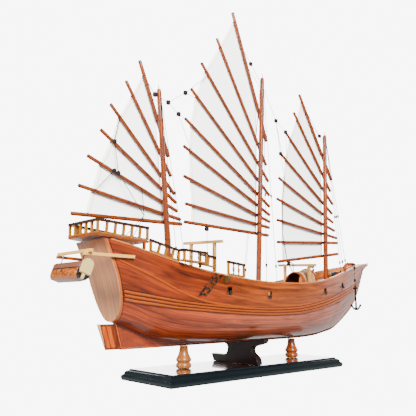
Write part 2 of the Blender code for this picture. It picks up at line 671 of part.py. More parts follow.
def make_railings(materials):
    inset = 1.8
    aft, fore = POOP_AFT_X + inset, POOP_FORE_X - inset
    path = []
    for x, side in ((fore, 1), (aft, 1), (aft, -1), (fore, -1)):
        path.append((x, side * (poop_half(x) - inset), poop_top(x) + GAP))
    rail = materials["rail"]
    make_railing("poop_rail", path, (6, 5, 6), POST_SIZE, POOP_RAIL_HEIGHT, RAIL_WIDTH, RAIL_DEPTH, rail)
    cap = 2 * GAP + RAIL_CAP_HEIGHT
    path = []
    out = GALLERY_DEPTH - 1.5
    aft, fore = QUARTER_RAIL_X
    for x, reach, rise in ((aft, -1.5, 0.0), (GALLERY_AFT_X, -1.5, 0.0), (GALLERY_AFT_X, out, 0.0),
                           (GALLERY_FORE_X, out, GALLERY_RISE), (GALLERY_FORE_X, -1.5, GALLERY_RISE),
                           (fore, -1.5, GALLERY_RISE)):
        half, height = gunwale(x)
        path.append((x, -(half + reach), height + cap + rise + 0.2))
    feet = (0.0, 0.0, 0.0, 0.0, GALLERY_RISE + 0.1, GALLERY_RISE + 0.1)
    fence = make_railing("quarter_rail_starboard", path, (4, 1, 3, 1, 2), POST_SIZE, FENCE_HEIGHT,
                         RAIL_WIDTH, RAIL_DEPTH, rail, feet=feet)
    floor = bmesh.new()
    rings = []
    for inner, outer in ((path[1], path[2]), (path[4], path[3])):
        low, high = Vector((0, 0, 0.2)), Vector((0, 0, GALLERY_FLOOR))
        inner, outer = Vector(inner), Vector(outer)
        rings.append([inner + low, outer + low, outer + high, inner + high])
    add_rings(floor, rings)
    combine(fence, add_object("gallery_floor", floor, None, guide=True))
    add_mirrored("quarter_rail_port", fence, rail)
    path = []
    for x in WAIST_FENCE_X:
        half, height = gunwale(x)
        path.append((x, -(half - 1.5), height + cap))
    make_railing("waist_fence", path, (3,), POST_SIZE, WAIST_FENCE_HEIGHT, 4.0, RAIL_DEPTH, rail)


def make_davits(materials):
    """Davit beams beside the hull; the crossbar is let into the starboard one."""
    beams = {}
    for name, side, lower, material in (("starboard", -1, 0.0, "birch"), ("port", 1, 0.9, "hull")):
        bm = bmesh.new()
        start = (DAVIT_AFT[0], side * DAVIT_AFT[1], DAVIT_AFT[2] - lower)
        end = (DAVIT_FORE[0], side * DAVIT_FORE[1], DAVIT_FORE[2] - lower)
        add_beam(bm, start, end, DAVIT_SIZE, DAVIT_SIZE)
        beams[name] = add_object(f"davit_{name}", bm, materials[material])
    bm = bmesh.new()
    z = DAVIT_AFT[2] + DAVIT_SIZE - 0.6
    add_beam(bm, (CROSSBAR_X, -CROSSBAR_HALF, z), (CROSSBAR_X, CROSSBAR_HALF, z), DAVIT_SIZE, DAVIT_SIZE)
    combine(beams["starboard"], add_object("davit_crossbar", bm, None, guide=True))


def heeled(x, y, z):
    """Point of the tender turned about its long axis, its deck leaning forward."""
    turn = math.radians(TENDER_HEEL)
    middle = 0.5 * (TENDER_TOP + TENDER_BOTTOM)
    rise = z - middle
    return (TENDER_X + x * math.cos(turn) + rise * math.sin(turn), y,
            middle - x * math.sin(turn) + rise * math.cos(turn))


def make_tender(materials):
    """Small boat slung athwart and heeled: port end rounded, stern board to starboard."""
    bm = bmesh.new()
    rings = []
    rise = TENDER_TOP - TENDER_BOTTOM
    # along the boat from port: share of length, share of width, lift of the bottom, drop of the top
    shape = ((0.0, 0.45, 0.36, 0.20), (0.03, 0.7, 0.16, 0.08), (0.08, 0.88, 0.05, 0.02),
             (0.16, 1.0, 0.0, 0.0), (0.85, 1.0, 0.0, 0.0), (1.0, 0.92, 0.06, 0.0))
    side = [(0.6, 0.0), (0.95, 0.18), (1.0, 0.5), (1.0, 1.0)]
    profile = [(-a, b) for a, b in side[:1]] + side + [(-a, b) for a, b in side[:0:-1]]
    for share, wide, lift, drop in shape:
        y = TENDER_HALF_LENGTH - share * 2 * TENDER_HALF_LENGTH
        low, top = TENDER_BOTTOM + lift * rise, TENDER_TOP - drop * rise
        half = TENDER_WIDTH / 2 * wide
        rings.append([heeled(a * half, y, low + b * (top - low)) for a, b in profile])
    add_rings(bm, rings)
    tender = add_object("tender", bm, materials["hull"])
    board = bmesh.new()
    half, foot = STERN_BOARD_WIDTH / 2, TENDER_BOTTOM + STERN_BOARD_FOOT
    shoulder = foot + STERN_BOARD_HEIGHT - half * 0.9
    outline = [(-half, foot), (half, foot)]
    for i in range(9):
        turn = math.pi * i / 8
        outline.append((half * math.cos(turn), shoulder + 0.9 * half * math.sin(turn)))
    stern = -TENDER_HALF_LENGTH
    face = stern - STERN_BOARD_THICKNESS
    add_prism(board, outline, face, stern + 0.8, lambda x, z, y: heeled(x, y, z))
    combine(tender, add_object("tender_stern_board", board, None, guide=True))
    slings = bmesh.new()
    hook = DAVIT_AFT[2] + DAVIT_SIZE / 2 - 0.6 - GAP
    for side in (-1, 1):
        y = side * SLING_Y
        eye = heeled(-2.0, y, TENDER_TOP - 2.0)
        add_rod(slings, eye, (CROSSBAR_X, y, hook), SLING_RADIUS, SLING_RADIUS, 6)
    combine(tender, add_object("tender_slings", slings, None, guide=True))


def mast_values(name):
    """A mast's row, with the height of its foot on the deck."""
    mast = next(dict(zip(MAST_COLUMNS, row)) for row in MASTS if row[0] == name)
    lean = abs(mast["top_x"] - mast["foot_x"]) / mast["top_z"]
    mast["foot_z"] = seat_height(mast["foot_x"], mast["foot_r"]) + lean * mast["foot_r"]
    return mast


def make_masts(materials):
    for row in MASTS:
        mast = mast_values(row[0])
        bm = bmesh.new()
        foot = Vector((mast["foot_x"], 0, mast["foot_z"]))
        top = Vector((mast["top_x"], 0, mast["top_z"]))
        along = (top - foot).normalized()
        side = Vector((along.z, 0, -along.x))
        rings = []
        levels = ((foot, mast["foot_r"]), (top - along * 1.2, mast["top_r"]), (top, mast["top_r"] * 0.7),
                  (top + along * 0.2, PIN_RADIUS), (top + along * mast["pin"], PIN_RADIUS * 0.5))
        for centre, radius in levels:
            rings.append(round_ring(centre, side, Vector((0, 1, 0)), radius, MAST_SIDES))
        add_rings(bm, rings)
        thing = add_object(f"{mast['name']}_mast", bm, materials["spar"])
        thing.data.shade_smooth()


def mast_axis(name, z):
    """x and radius of a mast at height z."""
    mast = mast_values(name)
    share = (z - mast["foot_z"]) / (mast["top_z"] - mast["foot_z"])
    x = mast["foot_x"] + share * (mast["top_x"] - mast["foot_x"])
    return x, mast["foot_r"] + min(share, 1.0) * (mast["top_r"] - mast["foot_r"])


def spar_side(name, spar):
    """y of a spar's centre, just to port of the mast where it crosses."""
    share = 0.5
    for _ in range(8):
        z = spar["aft_z"] + share * (spar["fore_z"] - spar["aft_z"])
        x, radius = mast_axis(name, z)
        share = (x - spar["aft_x"]) / (spar["fore_x"] - spar["aft_x"])
    return radius + GAP + spar["radius"], share


def make_rigs(materials):
    for name, rows in SPARS.items():
        spars = [dict(zip(SPAR_COLUMNS, row)) for row in rows]
        aft_edge, fore_edge = [], []
        for number, spar in enumerate(spars):
            kind = "yard" if number == 0 else "boom" if number == len(spars) - 1 else f"batten_{number}"
            y, share = spar_side(name, spar)
            start = Vector((spar["aft_x"], y, spar["aft_z"]))
            end = Vector((spar["fore_x"], y, spar["fore_z"]))
            bm = bmesh.new()
            taper = 0.88 if number else 0.8
            add_rod(bm, start, end, spar["radius"] * taper, spar["radius"], SPAR_SIDES)
            thing = add_object(f"{name}_{kind}", bm, materials["spar"])
            thing.data.shade_smooth()
            along = (end - start).normalized()
            cloth_y = y + spar["radius"] + GAP + CLOTH_THICKNESS / 2
            _, radius = mast_axis(name, start.z + share * (end.z - start.z))
            reach = (end - start).length * share - (radius + LUFF_INSET) / abs(along.x)
            aft_edge.append(start + along * LEECH_INSET[name] + Vector((0, cloth_y - y, 0)))
            fore_edge.append(start + along * reach + Vector((0, cloth_y - y, 0)))
        bm = bmesh.new()
        half = Vector((0, CLOTH_THICKNESS / 2, 0))
        rings = [[a - half, b - half, b + half, a + half] for a, b in zip(aft_edge, fore_edge)]
        add_rings(bm, rings)
        add_object(f"{name}_sail", bm, materials["cloth"])


def make_gallows(materials):
    """Two posts and a cross bar each, the bar a little higher to port."""
    size = TIMBER / 2
    for name, x, middle, half, post_y in GALLOWS:
        posts = bmesh.new()
        deck = seat_height(x, size)
        for side in (-1, 1):
            head = middle + side * GALLOWS_CANT * post_y
            add_box(posts, (x - size, side * post_y - size, deck), (x + size, side * post_y + size, head))
        bar = bmesh.new()
        rise = GALLOWS_CANT * half
        add_beam(bar, (x, -half, middle - rise), (x, half, middle + rise), TIMBER + 0.6, TIMBER)
        guide = add_object(f"{name}_bar", bar, None, guide=True)
        combine(add_object(name, posts, materials["birch"]), guide)


def make_shelter(materials):
    """Arched mat shelter over the waist, open at both ends, with a rim at each."""
    bm = bmesh.new()
    rings = []
    aft, fore = SHELTER_X
    stations = ((aft, SHELTER_RIM), (aft + 4.0, SHELTER_RIM), (aft + 4.2, 0.0),
                (fore - 4.2, 0.0), (fore - 4.0, SHELTER_RIM), (fore, SHELTER_RIM))
    straight = SHELTER_HEIGHT - SHELTER_HALF_WIDTH
    for x, rim in stations:
        deck = deck_height(x) + 2 * GAP
        outer, inner = [], []
        widths = (SHELTER_HALF_WIDTH + rim, SHELTER_HALF_WIDTH - SHELTER_WALL)
        for points, radius in zip((outer, inner), widths):
            points.append((x, radius, deck))
            for i in range(13):
                turn = math.pi * i / 12
                points.append((x, radius * math.cos(turn), deck + straight + radius * math.sin(turn)))
            points.append((x, -radius, deck))
        rings.append(outer + inner[::-1])
    add_rings(bm, rings)
    add_object("mat_shelter", bm, materials["mat"])


def make_windlass(materials):
    x, cheek = WINDLASS_X, WINDLASS_CHEEK_Y
    deck = seat_height(x, 3.0)
    posts = bmesh.new()
    for side in (-1, 1):
        add_box(posts, (x - 3.0, side * cheek - 1.5, deck), (x + 3.0, side * cheek + 1.5, deck + 9.0))
    barrel = bmesh.new()
    axis = deck + 5.5
    add_rod(barrel, (x, -WINDLASS_HALF, axis), (x, WINDLASS_HALF, axis), 2.8, 2.8, 8)
    guide = add_object("windlass_barrel", barrel, None, guide=True)
    windlass = add_object("windlass", posts, materials["rail"])
    combine(windlass, guide)


def cathead_foot(side):
    half, _ = gunwale(CATHEAD_X)
    _, height = gunwale(CATHEAD_X + CATHEAD_SIZE)
    return Vector((CATHEAD_X, side * (half - 1.4), height + 2 * GAP + RAIL_CAP_HEIGHT))


def make_catheads(materials):
    """Bent timber on each bow, rising from the rail and reaching forward."""
    # reach forward and rise of the timber's centre line
    path = ((0.0, 0.0), (0.0, 7.0), (1.5, 10.5), (5.0, 12.5), (12.0, 13.0), (CATHEAD_REACH, 12.5))
    for name, side in (("starboard", -1), ("port", 1)):
        foot = cathead_foot(side)
        rings = []
        for i, (out, up) in enumerate(path):
            before = path[max(i - 1, 0)]
            after = path[min(i + 1, len(path) - 1)]
            along = Vector((after[0] - before[0], after[1] - before[1])).normalized()
            ring = []
            for a, b in ((-1, -1), (1, -1), (1, 1), (-1, 1)):
                forward = out - along.y * a * CATHEAD_SIZE / 2
                lift = up + along.x * a * CATHEAD_SIZE / 2
                y = foot.y + side * (CATHEAD_SPLAY * out) + b * CATHEAD_SIZE / 2
                ring.append((foot.x + forward, y, foot.z + lift))
            rings.append(ring)
        bm = bmesh.new()
        add_rings(bm, rings)
        add_object(f"cathead_{name}", bm, materials["cap"])


def make_anchors(materials):
    """Anchor on its fall from the cathead, with two blocks on the fall."""
    for name, side in (("starboard", -1), ("port", 1)):
        foot = cathead_foot(side)
        x = foot.x + CATHEAD_REACH - 2.0
        y = foot.y + side * CATHEAD_SPLAY * (CATHEAD_REACH - 2.0)
        low = ANCHOR_TOP - ANCHOR_LENGTH
        tip = ANCHOR_SPREAD / 2
        outline = [(-tip, low + 8.0), (-tip + 2.6, low + 7.0), (-4.0, low + 2.6), (0.0, low + 1.6),
                   (4.0, low + 2.6), (tip - 2.6, low + 7.0), (tip, low + 8.0), (5.0, low - 0.8),
                   (0.0, low - 1.6), (-5.0, low - 0.8)]
        arms = bmesh.new()
        add_prism(arms, outline, y - 0.8, y + 0.8, lambda u, v, w: (x + u, w, v))
        for z in ANCHOR_BLOCKS:
            add_box(arms, (x - 1.4, y - 1.0, z - 1.8), (x + 1.4, y + 1.0, z + 1.8))
        stock = ANCHOR_TOP - 5.0
        add_box(arms, (x - 0.9, y - 6.0, stock - 0.9), (x + 0.9, y + 6.0, stock + 0.9))
        guide = add_object(f"anchor_arms_{name}", arms, None, guide=True)
        shank = bmesh.new()
        fall_top = foot.z + 12.5 - CATHEAD_SIZE / 2 - GAP
        rings = []
        for z, radius in ((low, 1.1), (ANCHOR_TOP, 1.1), (ANCHOR_TOP + 0.5, 0.5), (fall_top, 0.5)):
            rings.append(round_ring(Vector((x, y, z)), Vector((1, 0, 0)), Vector((0, 1, 0)), radius, 8))
        add_rings(shank, rings)
        anchor = add_object(f"anchor_{name}", shank, materials["iron"])
        combine(anchor, guide)


def make_ladder(materials):
    """Boarding ladder on the starboard side: two strips and cleats between."""
    strips = bmesh.new()
    cleats = bmesh.new()
    count = 9
    for shift in (0.0, LADDER_GAP):
        rings = []
        for i in range(count):
            share = i / (count - 1)
            x = LADDER_FOOT_X + shift + share * (LADDER_HEAD_X - LADDER_FOOT_X)
            top = gunwale(x)[1] - 0.5
            z = LADDER_FOOT_Z + share * (top - LADDER_FOOT_Z)
            point = hull_point(x, z)
            edge = hull_point(x + 4.2, z)
            y = max(point.y, edge.y) + GAP
            rings.append([(point.x, -y, z), (edge.x, -y, z), (edge.x, -y - 1.6, z), (point.x, -y - 1.6, z)])
        add_rings(strips, rings)
    for i in range(1, count, 2):
        share = (i - 0.5) / (count - 1)
        x = LADDER_FOOT_X + 1.5 + share * (LADDER_HEAD_X - LADDER_FOOT_X)
        top = gunwale(x)[1] - 0.5
        z = LADDER_FOOT_Z + share * (top - LADDER_FOOT_Z)
        near, far, above = hull_point(x, z), hull_point(x + LADDER_GAP, z), hull_point(x, z + 1.5)
        y = max(near.y, far.y, above.y) + GAP + 0.2
        add_box(cleats, (x, -y - 1.2, z - 1.0), (x + LADDER_GAP + 1.5, -y, z + 1.0))
    ladder = add_object("boarding_ladder", strips, materials["dark_board"])
    combine(ladder, add_object("ladder_cleats", cleats, None, guide=True))


def make_bracket(materials):
    """Triangular knee standing out from the starboard side below the rail."""
    aft, fore = BRACKET_X
    _, height = gunwale(fore)
    top = height - GAP
    foot = top - BRACKET_DROP
    upper = max(hull_point(x, top).y for x in BRACKET_X) + GAP
    lower = max(hull_point(x, foot).y for x in BRACKET_X) + GAP
    outline = [(-lower, foot), (-upper, top), (-upper - BRACKET_REACH, top),
               (-upper - BRACKET_REACH, top - 1.6), (-lower - 1.5, foot)]
    bm = bmesh.new()
    add_prism(bm, outline, aft, fore, lambda y, z, x: (x, y, z))
    add_object("side_bracket", bm, materials["birch"])


def main():
    for thing in list(bpy.data.objects):
        bpy.data.objects.remove(thing, do_unlink=True)
    materials = {
        "lacquer": make_material("black_lacquer", (0.02, 0.03, 0.03), 0.25),
        "turned": make_material("turned_maple", (0.62, 0.36, 0.16), 0.35),
        "dark_board": make_material("dark_walnut", (0.07, 0.035, 0.02), 0.4),
        "hull": make_material("hull_rosewood", (0.42, 0.13, 0.03), 0.3),
        "cap": make_material("cap_rosewood", (0.5, 0.2, 0.06), 0.35),
        "pale_board": make_material("transom_veneer", (0.52, 0.33, 0.24), 0.4),
        "birch": make_material("birch_timber", (0.82, 0.65, 0.4), 0.5),
        "rail": make_material("rail_brown", (0.25, 0.13, 0.06), 0.4),
        "spar": make_material("spar_rosewood", (0.36, 0.11, 0.04), 0.4),
        "cloth": make_material("sail_cloth", (0.9, 0.89, 0.86), 0.9),
        "mat": make_material("woven_mat", (0.4, 0.22, 0.12), 0.8),
        "iron": make_material("blackened_iron", (0.03, 0.03, 0.035), 0.5, 0.6),
    }
    for maker in (make_base, make_columns, make_cradle, make_hull, make_keel, make_transom, make_rail_cap,
                  make_mouldings, make_rudder, make_poop, make_railings, make_davits, make_tender,
                  make_masts, make_rigs, make_gallows, make_shelter, make_windlass, make_catheads,
                  make_anchors, make_ladder, make_bracket):
        maker(materials)


main()
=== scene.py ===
"""Finish of a varnished wooden display junk on its moulded base.

Lengths in this file are millimetres unless a name ends in _m. +X runs to the
bow, +Y to port, +Z up, and the origin is the centre of the base's underside.
"""
import json
import math

import bmesh
import bpy
import numpy as np
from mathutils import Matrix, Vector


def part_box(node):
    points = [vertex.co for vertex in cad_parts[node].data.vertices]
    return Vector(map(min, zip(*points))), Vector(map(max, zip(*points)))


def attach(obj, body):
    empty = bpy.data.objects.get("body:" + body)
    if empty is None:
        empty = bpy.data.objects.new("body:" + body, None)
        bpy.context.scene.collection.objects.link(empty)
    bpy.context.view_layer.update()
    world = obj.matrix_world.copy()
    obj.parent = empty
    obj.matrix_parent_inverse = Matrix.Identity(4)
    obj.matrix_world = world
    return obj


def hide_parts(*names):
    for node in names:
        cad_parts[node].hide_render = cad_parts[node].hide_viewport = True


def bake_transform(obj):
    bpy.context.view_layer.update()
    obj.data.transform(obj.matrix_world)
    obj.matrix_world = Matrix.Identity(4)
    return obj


bl_info = {
    "name": "Display Junk",
    "version": (1, 0, 0),
    "blender": (4, 5, 0),
    "location": "View3D > Sidebar > Junk",
    "description": "Finishes a three-masted display junk: hull, deck, rig and base",
    "category": "Add Mesh",
}

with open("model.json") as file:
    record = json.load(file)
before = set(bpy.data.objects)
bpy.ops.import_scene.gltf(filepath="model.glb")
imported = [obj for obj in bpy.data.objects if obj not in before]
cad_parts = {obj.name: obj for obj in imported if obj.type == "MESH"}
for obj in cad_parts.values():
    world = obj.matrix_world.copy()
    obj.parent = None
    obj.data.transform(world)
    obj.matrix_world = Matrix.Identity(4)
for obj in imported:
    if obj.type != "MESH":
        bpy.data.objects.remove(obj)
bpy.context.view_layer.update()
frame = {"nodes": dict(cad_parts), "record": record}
MM = 0.001

# Camera: place, heading from +X towards +Y, and upward tilt
CAMERA_PLACE_M, CAMERA_HEADING, CAMERA_TILT = (-0.6653, -0.6590, 0.1150), 48.181, 9.772
CAMERA_LENS, SENSOR_WIDTH = 47.23, 36.0

# Soft boxes: name, place in metres, side in metres and power in watts
LAMPS = (("key", (-0.9, -2.0, 1.35), 0.9, 136.0), ("bow", (2.3, -0.35, 0.3), 1.3, 13.0),
         ("stern", (-2.0, 0.5, 1.1), 0.8, 62.0), ("wall", (1.7, 1.9, 0.7), 2.8, 150.0))
# A lamp that is linked to the sails alone, and the place that every lamp is turned to
CLOTH_LAMP, LAMP_AIM_M = ("cloth", (-1.2, -1.9, 1.2), 1.2, 240.0), (0.0, 0.0, 0.2)
# Brightness of the backdrop, of the room, and of the floor where gloss reflects it
BACKDROP, AMBIENT, FLOOR_SHEEN = 8.0, 0.2, 1.3
WHITE, FLOOR_GREY, FLOOR_REACH = (1.0, 1.0, 1.0), (0.22, 0.22, 0.22), 6000.0

# Hull sections: x, half breadth, gunwale height, foot of the body, two
# fullness powers, drop of the deck below the gunwale
HULL_SECTIONS = (
    (-290.0, 38.0, 197.4, 88.0, 3.9, 1.8, 0.6),
    (-284.0, 38.9, 196.0, 86.2, 3.8, 1.85, 0.6),
    (-283.0, 39.1, 195.8, 86.0, 3.8, 1.85, 13.0),
    (-262.0, 42.8, 190.8, 80.0, 3.5, 2.1, 13.0),
    (-225.0, 50.3, 179.8, 70.0, 3.1, 2.5, 13.0),
    (-180.0, 57.0, 168.6, 62.0, 2.9, 2.65, 13.0),
    (-135.0, 61.5, 159.2, 57.5, 2.9, 2.7, 13.0),
    (-85.0, 65.2, 152.2, 55.0, 3.0, 2.6, 13.0),
    (-61.0, 66.6, 149.4, 54.6, 3.0, 2.6, 13.0),
    (-60.0, 66.7, 149.3, 54.6, 3.0, 2.6, 27.0),
    (-35.0, 67.6, 146.8, 54.4, 3.0, 2.6, 27.0),
    (15.0, 68.3, 144.7, 54.3, 3.0, 2.6, 27.0),
    (65.0, 67.6, 144.7, 54.4, 2.9, 2.5, 27.0),
    (105.0, 65.8, 147.0, 54.6, 2.7, 2.4, 27.0),
    (145.0, 62.8, 151.4, 55.0, 2.5, 2.2, 27.0),
    (186.0, 57.4, 159.0, 57.0, 2.3, 2.0, 27.0),
    (209.0, 52.8, 164.2, 60.0, 2.1, 1.9, 27.0),
    (210.0, 52.6, 164.4, 60.2, 2.1, 1.9, 11.0),
    (245.0, 44.4, 172.2, 66.5, 1.85, 1.7, 11.0),
    (270.0, 37.4, 177.2, 77.0, 1.7, 1.6, 11.0),
    (295.0, 30.0, 181.8, 91.5, 1.55, 1.45, 11.0),
    (315.0, 23.8, 185.2, 105.0, 1.4, 1.35, 11.0),
    (332.0, 18.2, 188.0, 121.5, 1.3, 1.25, 11.0),
    (346.0, 13.6, 190.2, 141.0, 1.2, 1.2, 11.0),
    (347.0, 13.3, 190.4, 142.5, 1.2, 1.2, 0.6),
    (357.0, 9.9, 191.8, 162.0, 1.1, 1.15, 0.6),
    (367.0, 6.9, 192.9, 180.0, 1.1, 1.1, 0.6),
    (380.0, 3.6, 194.4, 190.0, 1.1, 1.1, 0.6),
    (393.0, 0.8, 196.0, 195.0, 1.1, 1.1, 0.6),
)
# Stern profile from the keel up, as height and x
STERN_HEIGHTS = (50.0, 86.0, 88.0, 98.0, 108.0, 125.0, 148.0, 170.0, 197.4)
STERN_PLACES = (-238.5, -249.5, -254.6, -255.2, -257.2, -261.4, -268.2, -277.6, -290.0)
# First station of the hull, length over which its slope fades, and the points that lay out its skin
STERN_X, STERN_FADE, HULL_STATIONS, HULL_ROWS = -290.0, 110.0, 150, 27
# Keel: its ends, where it starts to rise, underside, top, half width and depth
KEEL_AFT, KEEL_FORE, STEM_START = -238.5, 367.0, 100.0
KEEL_FOOT, KEEL_FLAT, KEEL_HALF, KEEL_DEPTH = 50.0, 53.3, 3.0, 3.0
# Thickness of the bulwark, and the air between two solids that lie on each other
BULWARK, GAP = 3.0, 0.3
# Hull skin's UV map in metres: keel to gunwale, start of the inner side, painted shade in a line under
# the cap and a dark line before the stern, bare edge of the stern, and how soft those lines are
GIRTH_M, INNER_SIDE_M, CAP_SHADE_LINE_M, STERN_LINE_M = 0.118, 0.3, (0.1148, 0.119), (-0.2868, -0.2852)
STERN_EDGE_M, LINE_SOFT_M = -0.2872, 0.0003
# Lower edge and height of the wale and of the strake that leaves it aft
WALE = (
    (-284.0, 116.4, 14.4), (-262.0, 113.4, 14.6), (-225.0, 109.6, 13.6), (-180.0, 105.4, 12.3),
    (-135.0, 101.8, 11.0), (-85.0, 98.2, 10.6), (-35.0, 95.4, 11.0), (15.0, 94.0, 11.6),
    (65.0, 94.8, 12.0), (105.0, 97.8, 12.8), (145.0, 103.2, 13.8), (186.0, 110.8, 14.2),
    (245.0, 123.0, 14.6), (270.0, 128.2, 14.8), (295.0, 133.6, 15.0), (315.0, 138.0, 15.0),
    (332.0, 143.0, 14.0),
)
SHEER_STRAKE = (
    (-284.0, 169.8, 3.4), (-262.0, 160.6, 3.4), (-225.0, 146.0, 3.4), (-180.0, 128.6, 3.4),
    (-135.0, 114.6, 3.4), (-85.0, 107.6, 3.4), (-35.0, 103.2, 3.0),
)
# Half-round bands of the wale as shares of its height, their depth, and their number of sections
WALE_BANDS, BAND_DEPTH, BAND_STATIONS = ((0.0, 0.27), (0.365, 0.635), (0.73, 1.0)), 1.4, 110
# Cap: its run along the gunwale, height, overhang, rounded share, and the x and z of its nose
CAP_X, CAP_HEIGHT, CAP_LIP, CAP_EDGE = (-283.0, 357.0), 2.2, 0.9, 0.32
CAP_TIP, CAP_CROTCH = (396.5, 196.8), (368.0, 193.5)
# Gun ports: middle of each, size of the hole, and the gun's drop and reach in it
GUN_PORTS = ((-89.0, 131.8), (-4.0, 126.4), (151.0, 134.0), (224.0, 145.5))
GUN_PORT_WIDTH, GUN_PORT_SIZE, GUN_DROP, GUN_REACH = 8.0, 9.8, 2.8, 3.0
# Gun: distance from the muzzle inboard, and radius; then its carriage steps: distance inboard, rise
GUN_PROFILE = ((0.0, 1.2), (0.0, 2.7), (0.9, 2.8), (1.3, 2.0), (6.0, 1.9), (6.4, 2.3), (7.0, 2.3),
               (7.4, 2.05), (14.0, 2.3), (17.0, 2.5), (18.5, 2.2), (19.2, 0.8), (20.4, 0.9), (21.0, 0.0))
CARRIAGE_STEPS, CARRIAGE_HALF = ((7.0, 0.4), (10.5, -0.8), (14.0, -2.0)), 2.6
# Strip abaft each port: its ends from the port's middle, and its drop
SILL_X, SILL_DROP = (-9.0, -3.0), 4.0
# Anchor: turn of the arms about the shank, swing and rise of the arms, half length of the stock
ANCHOR_TWIST, ARM_SWING, ARM_RISE, STOCK_HALF = math.radians(25.0), math.radians(62.0), 9.0, 6.6
# Length of the anchor's shank, and height of the lower block over its foot
SHANK, ANCHOR_BLOCK = 44.9, 57.0
# Column: radius and share of the height: foot, torus, neck, skirt, shaft
COLUMN_PROFILE = (
    (9.0, 0.0), (9.6, 0.02), (11.0, 0.035), (11.7, 0.08), (11.9, 0.13), (11.5, 0.19), (10.4, 0.235),
    (9.7, 0.25), (9.6, 0.28), (10.4, 0.30), (11.3, 0.33), (11.7, 0.37), (11.4, 0.42), (10.6, 0.47),
    (9.4, 0.54), (8.3, 0.61), (7.4, 0.69), (6.8, 0.78), (6.4, 0.88), (6.2, 1.0))
# Poop platform's ends as x, half breadth and z; the quarter rail's run and that of its gallery
POOP_AFT, POOP_FORE, POOP_INSET = (-304.0, 39.0, 204.2), (-226.5, 47.0, 198.2), 1.8
QUARTER_RAIL_X, GALLERY_X, GALLERY_DEPTH, GALLERY_RISE = (-224.6, -117.0), (-181.0, -144.0), 13.0, 5.0
# Rails: heights under the cap, the cap's width, depth and overhang, place inboard, width of a post
FENCE_HEIGHT, POOP_RAIL_HEIGHT, RAIL_WIDTH, RAIL_DEPTH = 13.6, 15.6, 4.8, 3.6
RAIL_OVERHANG, RAIL_INBOARD, POST_WIDTH = 1.6, 1.5, 3.3
# Turned post: radius and share of the height between sill and cap
POST_PROFILE = ((1.4, 0.0), (1.4, 0.1), (1.0, 0.16), (1.6, 0.3), (2.1, 0.46), (1.7, 0.62), (1.0, 0.8),
                (1.5, 0.9), (1.5, 1.0))
WAIST_FENCE_X, WAIST_FENCE_HEIGHT = (-91.0, -60.0), 17.4
# Mat shelter: its run, radius of the arch, height over the deck, and thickness
SHELTER_X, SHELTER_RADIUS, SHELTER_HEIGHT, MAT_THICKNESS = (140.0, 180.0), 22.7, 45.6, 2.0
# Windlass: share of the length from the starboard end and radius, for each of its three fills
WINDLASS_PARTS = (
    ((0.02, 2.0), (0.04, 3.6), (0.10, 4.1), (0.30, 4.1), (0.33, 3.0)),
    ((0.33, 3.6), (0.36, 4.3), (0.62, 4.3), (0.65, 3.6)),
    ((0.65, 3.0), (0.68, 4.1), (0.92, 4.1), (0.96, 3.6), (0.98, 2.0)))
# Cathead: share of its reach and share of its rise at each knot, its radius, and half its foot
CATHEAD_KNOTS = ((0.0, 0.0), (0.0, 0.30), (0.02, 0.55), (0.10, 0.76), (0.24, 0.86), (0.45, 0.88),
                 (0.92, 0.86))
CATHEAD_RADIUS, CATHEAD_INSET = 2.9, 1.8
# Tender: x of its middle, heights of its top and bottom, and heel in degrees
TENDER_X, TENDER_TOP, TENDER_BOTTOM, TENDER_HEEL = -321.0, 164.0, 141.5, 20.0
# Panels of each sail, one more than its battens; then the points along each panel and across it
SAILS, SAIL_STEPS, SAIL_COLUMNS = {"mizzen": 6, "main": 8, "fore": 8}, 9, 30
# How far the cloth runs on behind the mast, varnish on a spar, cloth thickness, air beside a spar
LUFF_REACH, SPAR_VARNISH, CLOTH_M, CLOTH_OFF = 9.0, 0.3, 0.00025, 0.35
# Halyards: inset on the yard, drop from the masthead, and place of the block
HALYARDS = (("mizzen", 24.0, 12.0, (-186.0, 1.0, 435.0)), ("main", 62.0, 14.0, (32.0, 1.0, 552.0)),
            ("fore", 22.0, 10.0, (236.0, 1.0, 455.0)))
# Shrouds: drop from the masthead to starboard, and each foot's place and side; then the drop to
# port, the spread at the masthead, and the places of the blocks as shares of the length
SHROUDS = (("mizzen", 12.0, ((-182.0, -1), (-168.0, -1), (-107.0, 1), (-97.0, 1))),
           ("main", 14.0, ((17.0, -1), (-8.0, -1), (70.0, 1), (74.0, 1))),
           ("fore", 12.0, ((224.0, -1), (238.0, -1), (254.0, -1))))
PORT_SHROUD_DROP, SHROUD_SPREAD, SHROUD_BLOCKS = 2.5, 3.6, (0.6, 0.93)
# Foot of the rudder's axis as x and z, and its lean aft over its height
RUDDER_FOOT_M, RUDDER_LEAN = (-0.2413, 0.0508), 0.3052
# How far below its top a mast's node is searched for the shoulder
PIN_REACH = 12.0
UPWARDS = (0.0, 0.0, 1.0)
# Distance that merges points, width of a deck plank and of a strip of cane
MERGE_M, DECK_PLANK_M, CANE_M = 2e-6, 0.005, 0.0016


def linear(red, green, blue):
    """Scene colour of an sRGB colour given from 0 to 255."""
    values = np.array((red, green, blue)) / 255.0
    return tuple(np.where(values < 0.04045, values / 12.92, ((values + 0.055) / 1.055) ** 2.4))


def length_property(name, description, default, low, high):
    """A length in metres with its limits."""
    return bpy.props.FloatProperty(
        name=name, description=description, default=default, min=low, max=high, unit="LENGTH")


class JunkSizes(bpy.types.PropertyGroup):
    """Sizes of what repeats"""
    plank_width: length_property("Plank width", "Width of a hull strake amidships", 0.0062, 0.002, 0.03)
    thread_radius: length_property("Thread radius", "Radius of the rigging", 0.00044, 0.0001, 0.001)
    sail_belly: length_property("Sail belly", "Depth of the cloth's curve between two battens",
                                0.0016, 0.0, 0.01)
    leech_scallop: length_property("Leech scallop", "Hollow of the leech between two battens",
                                   0.0016, 0.0, 0.01)


